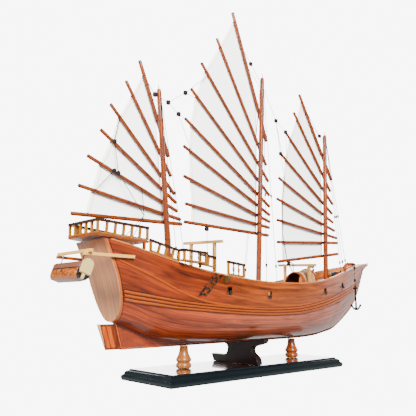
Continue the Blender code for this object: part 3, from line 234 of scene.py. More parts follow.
def colour_property(name, description, *srgb):
    """A colour whose default is given from 0 to 255."""
    return bpy.props.FloatVectorProperty(
        name=name, description=description, subtype="COLOR", size=3, min=0.0, max=1.0,
        default=linear(*srgb))


class JunkColours(bpy.types.PropertyGroup):
    """Colours of the woods, cloth, thread and metal"""
    hull: colour_property("Hull", "Varnished planking above the wale", 174, 78, 8)
    # Lower hull: its own redder tone, lightened in part as painted light for the glossy sheen and light
    # from below
    hull_low: colour_property("Lower hull", "Redder planking below the wale", 200, 98, 60)
    streak: colour_property("Streak", "Dark figure in the hull's wood", 48, 12, 0)
    cap: colour_property("Cap wood", "Orange-brown wood of decks, platform and catheads", 168, 74, 14)
    veneer: colour_property("Transom veneer", "Pale veneer of the stern board", 216, 142, 90)
    birch: colour_property("Birch", "Pale davits, gallows and boards", 242, 182, 90)
    brass_wood: colour_property("Balusters", "Golden turned balusters", 174, 108, 20)
    rail: colour_property("Rails", "Dark brown rails and posts", 60, 30, 12)
    spar: colour_property("Spars", "Red-brown masts, yards and battens", 152, 66, 14)
    maple: colour_property("Columns", "Turned columns", 176, 104, 44)
    walnut: colour_property("Cradle", "Dark cradle board", 26, 13, 10)
    lacquer: colour_property("Lacquer", "Green-black lacquer of the base", 2, 15, 20)
    base_top: colour_property("Base top", "Polished red-brown top of the base", 60, 16, 8)
    cloth: colour_property("Sailcloth", "Off-white cotton", 243, 244, 241)
    thread: colour_property("Thread", "Dark rigging thread", 30, 31, 38)
    mat: colour_property("Mat", "Woven cane of the shelter", 214, 154, 106)
    iron: colour_property("Iron", "Blackened anchor", 5, 6, 8)


# Shader building: fields are sockets that take part in Python expressions

class Field:
    """A number socket that adds Math nodes when it is used in an expression."""

    def __init__(self, paint, socket):
        self.paint, self.socket = paint, socket

    def _math(self, operation, first, second=None):
        """Field from one Math node."""
        values = {0: first} if second is None else {0: first, 1: second}
        return self.paint.node("Math", {"operation": operation}, values)

    def __add__(self, other):
        return self._math("ADD", self, other)

    def __sub__(self, other):
        return self._math("SUBTRACT", self, other)

    def __rsub__(self, other):
        return self._math("SUBTRACT", other, self)

    def __mul__(self, other):
        return self._math("MULTIPLY", self, other)

    def __truediv__(self, other):
        return self._math("DIVIDE", self, other)

    def __gt__(self, other):
        return self._math("GREATER_THAN", self, other)

    def __lt__(self, other):
        return self._math("LESS_THAN", self, other)

    def __mod__(self, other):
        return self._math("FLOORED_MODULO", self, other)

    __radd__, __rmul__ = __add__, __mul__

    def floor(self):
        """Whole part."""
        return self._math("FLOOR", self)

    def absolute(self):
        """Size without sign."""
        return self._math("ABSOLUTE", self)

    def between(self, low, high, soft=0.0):
        """1 inside low..high, 0 outside, with soft edges of that width."""
        if soft:
            return self.step(low, soft) * (1.0 - self.step(high, soft))
        return (self > low) * (self < high)

    def step(self, edge, soft):
        """Rises from 0 to 1 around an edge."""
        return self.paint.node("MapRange", {"interpolation_type": "SMOOTHSTEP"},
                               {0: self, 1: edge - soft, 2: edge + soft, 3: 0.0, 4: 1.0})


class Paint:
    """One material: its nodes, and the finish set on its shader."""

    def __init__(self, name):
        self.material = bpy.data.materials.new(name)
        self.material.use_nodes = True
        self.tree = self.material.node_tree
        self.shader = self.tree.nodes["Principled BSDF"]

    def link(self, target, value):
        """Joins a field to a socket, or sets the socket to a colour or number."""
        if isinstance(value, Field):
            self.tree.links.new(value.socket, target)
        elif target.type == "RGBA":
            target.default_value = (*value, 1.0)
        else:
            target.default_value = value

    def node(self, kind, settings, sockets, output=0):
        """Any node: its settings first, then its sockets by name or number."""
        node = self.tree.nodes.new("ShaderNode" + kind)
        for key, value in settings.items():
            if key == "stops":
                ramp = node.color_ramp
                while len(ramp.elements) < len(value):
                    ramp.elements.new(0.5)
                for element, (place, colour) in zip(ramp.elements, value):
                    element.position, element.color = place, (*colour, 1.0)
            else:
                setattr(node, key, value)
        for key, value in sockets.items():
            self.link(node.inputs[key], value)
        return Field(self, node.outputs[output])

    def place(self, source="Object"):
        """Place on the piece, in its own space or its UV map."""
        return self.node("TexCoord", {}, {}, source)

    def own(self, name):
        """A number that the mesh carries on its points."""
        return self.node("Attribute", {"attribute_name": name}, {}, "Fac")

    def parts(self, vector):
        """The three numbers of a vector."""
        split = self.tree.nodes.new("ShaderNodeSeparateXYZ")
        self.tree.links.new(vector.socket, split.inputs[0])
        return [Field(self, output) for output in split.outputs]

    def joined(self, x, y, z):
        """A vector of three numbers."""
        return self.node("CombineXYZ", {}, {0: x, 1: y, 2: z})

    def scaled(self, vector, sizes):
        """A vector times a size on each axis."""
        return self.node("VectorMath", {"operation": "MULTIPLY"}, {0: vector, 1: sizes})

    def noise(self, vector, scale, detail=3.0, rough=0.55, warp=0.0):
        """Cloudy number from 0 to 1, in several sizes of detail."""
        return self.node("TexNoise", {}, {"Vector": vector, "Scale": scale, "Detail": detail,
                                          "Roughness": rough, "Distortion": warp})

    def chance(self, value):
        """A steady random number from 0 to 1 for each whole value."""
        return self.node("TexWhiteNoise", {"noise_dimensions": "1D"}, {"W": value})

    def ramp(self, value, *stops):
        """A colour by the place of a value between stops of place and colour."""
        return self.node("ValToRGB", {"stops": stops}, {0: value})

    def mix(self, share, first, second, blend="MIX"):
        """The first colour, turned into the second by a share."""
        return self.node("Mix", {"data_type": "RGBA", "blend_type": blend, "clamp_factor": True},
                         {0: share, 6: first, 7: second}, 2)

    def bump(self, height, distance, strength=1.0):
        """Normal of a height from 0 to 1 that stands for a distance in metres."""
        return self.node("Bump", {}, {"Height": height, "Distance": distance, "Strength": strength})

    def varnish(self, base, roughness, coat, coat_roughness, height, depth_m, **more):
        """Coloured surface under a clear coat, with fine relief."""
        return self.finish(Base_Color=base, Roughness=roughness, Coat_Weight=coat,
                           Coat_Roughness=coat_roughness, Normal=self.bump(height, depth_m), **more)

    def finish(self, gloss=0.25, **sockets):
        """Sets or links the shader's sockets; underscores stand for spaces."""
        self.shader.inputs["Specular IOR Level"].default_value = gloss
        for key, value in sockets.items():
            self.link(self.shader.inputs[key.replace("_", " ")], value)
        return self.material


def shade(colour, share):
    """A colour made darker, or lighter above 1."""
    return tuple(min(1.0, c * share) for c in colour)


def wood(name, colour, streak, grain=(1.0, 0.07, 1.0), source="Object", contrast=0.55,
         roughness=0.34, coat=0.5, figure=26.0, blotch=None):
    """Varnished wood: long streaks of a darker figure, fine pores, a clear coat.

    grain stretches the pattern on each axis, smallest along the grain; the
    figure is a noise over the stretched place, and the pores a finer one.
    """
    paint = Paint(name)
    place = paint.scaled(paint.place(source), grain)
    broad = paint.noise(place, figure * 6.0, 4.0, 0.6, 0.8)
    fine = paint.noise(place, figure * 60.0, 3.0, 0.6)
    tone = paint.ramp(broad, (0.30, streak), (0.48, shade(colour, 0.82)), (0.66, colour),
                      (0.85, shade(colour, 1.18)))
    base = paint.mix(contrast, colour, tone)
    base = paint.mix((fine < 0.42) * 0.22, base, streak)
    if blotch:
        cloud = paint.noise(paint.place(source), blotch, 2.0)
        base = paint.mix(cloud.step(0.5, 0.2) * 0.25, base, shade(colour, 1.3))
    return paint.varnish(base, roughness + fine * 0.12, coat, 0.09, fine, 0.00004)


def hull_wood(colours, sizes):
    """Planked hull: strakes follow the skin, redder below the wale, partly as painted light, and browner
    aft as painted shade.

    belt is 0 at the foot of the wale and 1 at its top; u runs along the ship
    and v up the skin, and each strake takes its figure from its own number.
    """
    paint = Paint("hull_planking")
    u, v, _ = paint.parts(paint.place("UV"))
    belt = paint.own("belt")
    above = belt.step(0.5, 0.1)
    strake = v / sizes.plank_width
    board = strake.floor()
    pick = paint.chance(board)
    warp = paint.noise(paint.joined(u, v, 0.0), 9.0, 2.0)
    place = paint.joined(u + pick * 3.7, v + warp * 0.006, pick)
    figure = paint.noise(paint.scaled(place, (9.0, 120.0, 8.0)), 1.0, 5.0, 0.6, 0.9)
    thin = paint.noise(paint.scaled(place, (30.0, 900.0, 8.0)), 1.0, 3.0, 0.6)
    upper = paint.ramp(figure, (0.28, colours.streak), (0.46, shade(colours.hull, 0.6)),
                       (0.58, colours.hull), (0.8, shade(colours.hull, 1.4)))
    lower = paint.ramp(figure, (0.25, shade(colours.streak, 0.9)),
                       (0.46, shade(colours.hull_low, 0.62)), (0.6, colours.hull_low),
                       (0.8, shade(colours.hull_low, 1.5)))
    base = paint.mix(above, lower, upper)
    # painted shade: the planking is multiplied deeper and browner towards the stern
    base = paint.mix((1.0 - u.step(-0.07, 0.1)) * 0.9, base, (0.84, 0.5, 0.2), "MULTIPLY")
    base = paint.mix((pick - 0.5) * 0.5 * (1.0 - above * 0.4), base, colours.streak)
    edge = (strake - board).between(0.05, 0.95)
    seam = (1.0 - edge) * (0.55 - above * 0.35)
    base = paint.mix(seam, base, shade(colours.streak, 0.45))
    base = paint.mix((thin < 0.4) * 0.16, base, colours.streak)
    # painted shade: the skin darkens in the wale's grooves and along its edges, and in a line under the
    # cap; a dark line also runs before the stern
    dark = belt.between(-0.12, 1.1, 0.05) + v.between(*CAP_SHADE_LINE_M, LINE_SOFT_M)
    dark = dark + u.between(*STERN_LINE_M, LINE_SOFT_M)
    base = paint.mix(dark * 0.8, base, shade(colours.streak, 0.45))
    base = paint.mix(1.0 - u.step(STERN_EDGE_M, LINE_SOFT_M), base, shade(colours.hull, 1.5))
    return paint.varnish(base, 0.4 + thin * 0.1, 0.45 - above * 0.25, 0.14,
                         thin * 0.25 - seam * 1.2, 0.00006)


def spar_wood(name, colour, streak, dark_ends):
    """Stained dowel: streaks along it, darker knots at steady distances, dark sawn ends."""
    paint = Paint(name)
    u, v, _ = paint.parts(paint.place("UV"))
    figure = paint.noise(paint.joined(u * 14.0, v * 420.0, 0.0), 1.0, 4.0, 0.6, 0.5)
    fine = paint.noise(paint.joined(u * 60.0, v * 2400.0, 1.0), 1.0, 2.0)
    base = paint.ramp(figure, (0.3, shade(colour, 0.5)), (0.45, shade(colour, 0.8)), (0.6, colour),
                      (0.8, shade(colour, 1.4)))
    knot = ((u / 0.031) % 1.0).between(0.0, 0.05, 0.01)
    base = paint.mix(knot * 0.6, base, shade(streak, 0.4))
    if dark_ends:
        sawn = 1.0 - paint.own("end").step(0.0014, 0.0006)
        base = paint.mix(sawn * 0.7, base, shade(streak, 0.8))
    return paint.varnish(base, 0.36 + fine * 0.1, 0.25, 0.12, fine, 0.00004)


def deck_wood(colours, sizes):
    """Deck planks along the ship with dark caulking."""
    paint = Paint("deck_planks")
    x, y, z = paint.parts(paint.place())
    strake = y / DECK_PLANK_M + 40.5      # above 0 on both sides of the ship
    board = strake.floor()
    pick = paint.chance(board)
    figure = paint.noise(paint.joined(x * 14.0 + pick * 9.0, y * 300.0, z * 3.0), 1.0, 4.0, 0.6)
    base = paint.ramp(figure, (0.3, shade(colours.cap, 0.6)), (0.55, colours.cap),
                      (0.8, shade(colours.cap, 1.3)))
    base = paint.mix(pick * 0.4, base, shade(colours.rail, 1.2))
    seam = 1.0 - (strake - board).between(0.05, 0.95)
    base = paint.mix(seam * 0.8, base, shade(colours.streak, 0.5))
    return paint.varnish(base, 0.4, 0.3, 0.15, 1.0 - seam, 0.0001)


def transom_veneer(colours, sizes):
    """Pale veneer with upright grain, with painted shade at its top under the platform."""
    paint = Paint("transom_veneer")
    _, y, z = paint.parts(paint.place())
    warp = paint.noise(paint.joined(y, z * 0.5, 0.0), 30.0, 2.0)
    figure = paint.noise(paint.joined(y * 190.0 + warp * 1.4, z * 9.0, 0.3), 1.0, 4.0, 0.55)
    thin = paint.noise(paint.joined(y * 1600.0, z * 22.0, 0.3), 1.0, 2.0)
    tone = paint.ramp(figure, (0.3, shade(colours.veneer, 0.62)), (0.5, shade(colours.veneer, 0.86)),
                      (0.7, colours.veneer))
    base = paint.mix((thin < 0.42) * 0.2, tone, shade(colours.veneer, 0.5))
    # painted shade: the veneer darkens at its top, under the platform's overhang
    base = paint.mix(z.step(0.186, 0.006) * 0.55, base, shade(colours.streak, 2.2))
    return paint.varnish(base, 0.36 + thin * 0.1, 0.4, 0.12, thin, 0.00003)


def base_top(colours, sizes):
    """Polished red-brown wood under clear lacquer."""
    paint = Paint("base_top_lacquer")
    x, y, _ = paint.parts(paint.place())
    figure = paint.noise(paint.joined(x * 12.0, y * 150.0, 0.0), 1.0, 4.0, 0.6, 0.6)
    base = paint.ramp(figure, (0.3, shade(colours.base_top, 0.45)), (0.6, colours.base_top),
                      (0.8, shade(colours.base_top, 1.5)))
    return paint.finish(0.5, Base_Color=base, Roughness=0.16, Coat_Weight=1.0, Coat_Roughness=0.03)


def base_lacquer(colours, sizes):
    """Green-black lacquer with a faint unevenness."""
    paint = Paint("base_lacquer")
    wear = paint.noise(paint.place(), 90.0, 4.0)
    base = paint.mix(wear * 0.5, colours.lacquer, shade(colours.lacquer, 1.8))
    return paint.varnish(base, 0.34 + wear * 0.12, 0.12, 0.15, wear, 0.00005)


def sail_cloth(colours, sizes):
    """Fine cotton: two crossed noises as weave, creases, and hems.

    u is the distance from the leech, and the attribute luff that from the luff.
    """
    paint = Paint("sail_cotton")
    u, v, _ = paint.parts(paint.place("UV"))
    weave = paint.noise(paint.joined(u * 1500.0, v * 150.0, 0.0), 1.0, 1.0) * 0.5
    weave = weave + paint.noise(paint.joined(u * 150.0, v * 1500.0, 4.0), 1.0, 1.0) * 0.5
    crease = paint.noise(paint.joined(u * 14.0, v * 60.0, 2.0), 1.0, 3.0, 0.5, 0.6)
    hem = u.between(0.0053, 0.0062, 0.0002)
    luff = paint.own("luff")
    fold = luff.between(0.0040, 0.0050, 0.0002)
    base = paint.mix(weave * 0.12, colours.cloth, shade(colours.cloth, 0.86))
    base = paint.mix(hem * 0.9, base, linear(220, 172, 140))
    base = paint.mix((1.0 - u.step(0.0053, 0.0002)) * 0.3, base, linear(214, 212, 204))
    base = paint.mix(luff.between(-0.001, 0.0035, 0.0006) * 0.35, base, linear(180, 182, 184))
    base = paint.mix(fold * 0.3, base, linear(190, 186, 180))
    height = weave * 0.12 + crease - hem * 0.4
    return paint.finish(Base_Color=base, Roughness=0.92, Sheen_Weight=0.15,
                        Normal=paint.bump(height, 0.0007, 0.6))


def thread(colours, sizes):
    """Twisted thread: a spiral of light and dark strands."""
    paint = Paint("rigging_thread")
    u, v, _ = paint.parts(paint.place("UV"))
    strand = (u * 900.0 + v * 700.0) % 1.0
    base = paint.mix(strand.between(0.3, 0.8, 0.1) * 0.5, colours.thread, shade(colours.thread, 2.6))
    return paint.finish(Base_Color=base, Roughness=0.85, Normal=paint.bump(strand, 0.00005))


def woven_mat(colours, sizes):
    """Cane mat: crossing strips, over and under, in mixed browns, with painted shade where each strip
    dips under the next.
    """
    paint = Paint("woven_mat")
    u, v, _ = paint.parts(paint.place("UV"))
    across, around = u / CANE_M, v / CANE_M
    row, column = across.floor(), around.floor()
    over = (row + column) % 2.0
    along = (across - row) * (1.0 - over) + (around - column) * over
    crown = 1.0 - ((along - 0.5).absolute() * 2.0)
    pick = paint.chance(row * 17.0 + column * 3.0)
    base = paint.ramp(pick, (0.0, shade(colours.mat, 0.5)), (0.45, colours.mat),
                      (0.8, linear(230, 186, 146)), (1.0, linear(244, 214, 178)))
    # painted shade: each strip darkens towards its ends, where it dips under the crossing strip
    base = paint.mix((1.0 - crown) * 0.45, base, shade(colours.mat, 0.25))
    return paint.finish(Base_Color=base, Roughness=0.7, Normal=paint.bump(crown, 0.0003))


def tender_planks(colours, sizes):
    """Boat side: top strake paler as a painted highlight, dark line, figured side, chine lighter as a
    painted highlight, black end.

    share is the height over the boat's own, and across the distance from its middle, both turned
    by the heel.
    """
    paint = Paint("tender_planks")
    x, y, z = paint.parts(paint.place())
    lean = math.radians(TENDER_HEEL)
    middle, rise = (TENDER_TOP + TENDER_BOTTOM) / 2 * MM, (TENDER_TOP - TENDER_BOTTOM) * MM
    across = (x - TENDER_X * MM) * math.cos(lean) - (z - middle) * math.sin(lean)
    share = ((x - TENDER_X * MM) * math.sin(lean) + (z - middle) * math.cos(lean)) / rise + 0.5
    swirl = paint.noise(paint.joined(y * 70.0, share * 2.6, across * 40.0), 1.0, 3.0, 0.6, 2.2)
    side = paint.ramp(swirl, (0.34, linear(70, 26, 2)), (0.46, linear(156, 74, 8)),
                      (0.6, linear(196, 108, 26)), (0.75, linear(222, 156, 76)))
    # painted highlight: the top strake is paler and greyer, as the sheen on its upward face
    top = paint.mix(swirl * 0.8, linear(150, 88, 62), linear(92, 48, 30))
    base = paint.mix(share.step(0.66, 0.015), side, top)
    base = paint.mix(share.between(0.60, 0.68, 0.015), base, linear(50, 28, 20))
    # painted highlight: the bottom of the side is lighter along the chine
    base = paint.mix((1.0 - share.step(0.15, 0.03)) * 0.8, base, linear(150, 92, 64))
    stern = 1.0 - y.step(-0.0375, 0.0003)
    strip = across.between(-0.0032, 0.0012, 0.0004)
    end = paint.mix(strip, linear(22, 12, 12), linear(226, 200, 150))
    base = paint.mix(stern * share.between(-0.5, 0.62, 0.02), base, end)
    board = 1.0 - y.step(-0.0426, 0.0002)
    grain = paint.noise(paint.joined(across * 300.0, y * 10.0, share * 3.0), 1.0, 3.0)
    pale = paint.mix(grain * 0.5, linear(246, 216, 140), linear(216, 174, 92))
    base = paint.mix(board * share.step(0.36, 0.02), base, pale)
    return paint.varnish(base, 0.4, 0.35, 0.12, swirl, 0.00005)


def rudder_wood(colours, sizes):
    """Blade with two orange panels in a red-brown frame, pale after edge."""
    paint = Paint("rudder_panels")
    x, y, z = paint.parts(paint.place())
    # distance from the leaned axis, negative aft
    chord = x - RUDDER_FOOT_M[0] + (z - RUDDER_FOOT_M[1]) * RUDDER_LEAN
    figure = paint.noise(paint.joined(x * 250.0, y * 60.0, z * 22.0), 1.0, 4.0, 0.6)
    panel = paint.ramp(figure, (0.3, linear(172, 62, 0)), (0.55, linear(204, 88, 2)),
                       (0.8, linear(226, 114, 12)))
    bars = paint.ramp(figure, (0.3, linear(84, 24, 2)), (0.8, linear(150, 62, 18)))
    inside = chord.between(-0.0192, -0.0134, 0.0003) + chord.between(-0.0116, -0.0054, 0.0003)
    inside = inside * z.between(0.0538, 0.0822, 0.0003)
    base = paint.mix(inside, bars, panel)
    base = paint.mix(1.0 - chord.step(-0.0212, 0.0004), base, linear(226, 170, 120))
    return paint.varnish(base, 0.36, 0.25, 0.1, figure, 0.00004, gloss=0.2)


def mottled(name, dark, light):
    """Dark strip with worn, paler patches, as on the boarding ladder."""
    paint = Paint(name)
    patch = paint.noise(paint.place(), 260.0, 3.0)
    base = paint.ramp(patch, (0.48, dark), (0.54, shade(light, 0.45)), (0.64, light))
    return paint.finish(Base_Color=base, Roughness=0.5, Coat_Weight=0.2)


def metal(name, colour, roughness, metallic):
    """Pitted metal, paler in the pits."""
    paint = Paint(name)
    pit = paint.noise(paint.place(), 700.0, 3.0)
    base = paint.mix(pit * 0.5, colour, shade(colour, 2.4))
    return paint.finish(Base_Color=base, Roughness=roughness + pit * 0.15, Metallic=metallic,
                        Normal=paint.bump(pit, 0.00005))


def matt(name, colour):
    """Plain dark or pale surface with a slight unevenness."""
    paint = Paint(name)
    cloud = paint.noise(paint.place(), 400.0, 3.0)
    base = paint.mix(cloud * 0.4, colour, shade(colour, 0.6))
    return paint.finish(Base_Color=base, Roughness=0.7)


ALONG_X, ALONG_Y, ALONG_Z = (0.07, 1.0, 1.0), (1.0, 0.07, 1.0), (1.0, 1.0, 0.07)

# Finishes of their own, made from the colours and sizes
PATTERNS = {"hull": hull_wood, "deck": deck_wood, "veneer": transom_veneer, "lacquer": base_lacquer,
            "base_top": base_top, "cloth": sail_cloth, "thread": thread, "mat": woven_mat,
            "tender": tender_planks, "rudder": rudder_wood}
# The rest: function, name of the material, and its values. Three numbers are an sRGB colour,
# and a word with a number is one of the colours above and how much lighter or darker it is.
VARIANTS = {
    "ladder": (mottled, "ladder_strips", (8, 5, 4), (112, 60, 26)),
    "rope": (mottled, "windlass_rope", (16, 20, 24), (70, 84, 92)),
    "iron": (metal, "blackened_iron", ("iron", 1.0), 0.6, 0.0),
    "bronze": (metal, "gun_bronze", (58, 64, 56), 0.4, 0.5),
    # painted shade: the walls of the gun ports are dark as the shade inside a hole
    "shadow": (matt, "port_lining", (26, 14, 10)),
    "block": (matt, "rigging_block", (40, 30, 28)),
    "plug": (matt, "mast_pin", (226, 220, 206)),
    # painted shade: the inside of the shelter takes a dark finish for the shade within it
    "mat_inside": (matt, "mat_inside", (34, 18, 12)),
    "spar": (spar_wood, "spar_wood", ("spar", 1.0), ("streak", 1.0), True),
    "mast": (spar_wood, "mast_wood", ("spar", 1.05), ("streak", 1.3), False),
    "cap": (wood, "rail_cap_wood", (214, 126, 58), ("cap", 0.7), ALONG_X, "UV", 0.4),
    "trim": (wood, "hull_trim", ("hull", 1.05), ("hull", 0.5), ALONG_X, "Object", 0.4, 0.42, 0.15),
    "keel": (wood, "keel_wood", (176, 84, 42), ("hull_low", 0.5), ALONG_X, "Object", 0.55, 0.45, 0.1),
    "birch": (wood, "birch", ("birch", 1.0), ("birch", 0.62), ALONG_Y, "Object", 0.35, 0.5, 0.1),
    "birch_x": (wood, "birch_fore_aft", ("birch", 1.15), ("birch", 0.62), ALONG_X, "Object",
                0.35, 0.5, 0.1),
    "baluster": (wood, "golden_baluster", ("brass_wood", 1.0), ("brass_wood", 0.5), ALONG_Z,
                 "Object", 0.4, 0.35, 0.3),
    "rail": (wood, "rail_wood", ("rail", 1.0), ("rail", 0.4), ALONG_X, "UV", 0.5),
    "rail_block": (wood, "rail_timber", ("rail", 1.0), ("rail", 0.4), ALONG_X),
    "platform": (wood, "platform_wood", ("cap", 0.9), ("streak", 1.0), ALONG_X),
    "davit_dark": (wood, "davit_brown", ("cap", 0.8), ("streak", 1.0), ALONG_X),
    "cathead": (wood, "cathead_wood", ("cap", 0.95), ("streak", 1.0), ALONG_X),
    "maple": (wood, "turned_maple", ("maple", 1.0), ("maple", 0.42), ALONG_Z, "Object", 0.5, 0.25, 0.8),
    "cherry": (wood, "turned_cherry", (158, 74, 28), ("streak", 1.0), ALONG_Z, "Object", 0.5, 0.25, 0.8),
    "walnut": (wood, "cradle_walnut", ("walnut", 1.0), ("walnut", 0.4), ALONG_Y, "Object",
               0.5, 0.45, 0.12),
    "bracket": (wood, "bracket_wood", (132, 92, 40), (46, 30, 14), ALONG_Z, "Object", 0.6),
}
FINISHES = {}


def finish(name):
    """Material of a finish, made when it is first asked for."""
    scene = bpy.context.scene

    def value(entry):
        """Scene colour of a named or an sRGB colour; anything else as it is."""
        if not isinstance(entry, tuple) or isinstance(entry[0], float):
            return entry
        if isinstance(entry[0], str):
            return shade(getattr(scene.junk_colours, entry[0]), entry[1])
        return linear(*entry)

    if name not in FINISHES:
        if name in PATTERNS:
            FINISHES[name] = PATTERNS[name](scene.junk_colours, scene.junk_sizes)
        else:
            make, title, *entries = VARIANTS[name]
            FINISHES[name] = make(title, *(value(entry) for entry in entries))
    return FINISHES[name]


# Shapes as arrays of points

def unit(vectors):
    """Vectors brought to length 1."""
    return vectors / np.linalg.norm(vectors, axis=-1, keepdims=True)


def circle(sides):
    """Angles of a closed ring of that many sides."""
    return np.arange(sides) * 2 * math.pi / sides


def from_gunwale(x):
    """Section whose top, carried by the stern's slope, stands at x, found in five steps."""
    place = np.asarray(x, float).copy()
    for _ in range(5):
        place = place + x - leaned(place, profile_curve(HULL_SECTIONS, place)[..., 1])
    return profile_curve(HULL_SECTIONS, place)


def profile_curve(table, x):
    """Columns of a table at x, by monotone cubics through its rows."""
    rows = np.array(table)
    knots, values = rows[:, 0], rows[:, 1:]
    steps = np.diff(knots)
    slopes = np.diff(values, axis=0) / steps[:, None]
    same = slopes[:-1] * slopes[1:] > 0
    total = np.where(same, slopes[:-1] + slopes[1:], 1.0)
    inner = np.where(same, 2 * slopes[:-1] * slopes[1:] / total, 0.0)
    tangents = np.vstack([slopes[:1], inner, slopes[-1:]])
    x = np.clip(np.asarray(x, float), knots[0], knots[-1])
    k = np.clip(np.searchsorted(knots, x, side="right") - 1, 0, len(steps) - 1)
    h = steps[k][..., None]
    t = (x - knots[k])[..., None] / h
    return ((1 + 2 * t) * (1 - t) ** 2 * values[k] + t * (1 - t) ** 2 * h * tangents[k]
            + t * t * (3 - 2 * t) * values[k + 1] + t * t * (t - 1) * h * tangents[k + 1])


def hull_breadth(x, z):
    """Half breadth at height z: the section fills out by its two powers."""
    b, g, f, p, q, _ = np.moveaxis(profile_curve(HULL_SECTIONS, x), -1, 0)
    share = np.clip((z - f) / (g - f), 0.0, 1.0)
    keel = np.minimum(KEEL_HALF, 0.9 * b)
    return keel + (b - keel) * (1.0 - (1.0 - share) ** p) ** (1.0 / q)


def leaned(x, z):
    """Section place moved aft or forward to follow the stern's slope."""
    fade = np.clip(1.0 - (x - STERN_X) / STERN_FADE, 0.0, 1.0)
    return x + fade * (np.interp(z, STERN_HEIGHTS, STERN_PLACES) - STERN_X)


def hull_point(x, z, side, out=0.0):
    """Point of the skin at a station and height, moved out from it sideways."""
    x, z = np.broadcast_arrays(np.asarray(x, float), np.asarray(z, float))
    return np.stack([leaned(x, z), side * (hull_breadth(x, z) + out), z], -1)


def deck_height(x):
    """Height of the gunwale at x less the drop of the deck."""
    values = from_gunwale(x)
    return values[..., 1] - values[..., 5]


def at_rail(x, side, inboard=3.0, lift=0.0):
    """Point over the cap at x, inboard of the gunwale's edge."""
    half, height = (float(value) for value in from_gunwale(np.array(float(x)))[:2])
    return np.array((x, side * (half - inboard), height + GAP + CAP_HEIGHT + lift))


def keel_top(stations, foot):
    """Top of the keel: level, then just under the foot of the body as it rises ahead."""
    rising = np.maximum(KEEL_FLAT, foot - 1.2)
    return np.minimum(np.where(stations < STEM_START, KEEL_FLAT, rising), foot - 1.0)


def spar_kinds(name):
    """A sail's spars from the yard down to the boom."""
    return ["yard"] + [f"batten_{i}" for i in range(1, SAILS[name])] + ["boom"]


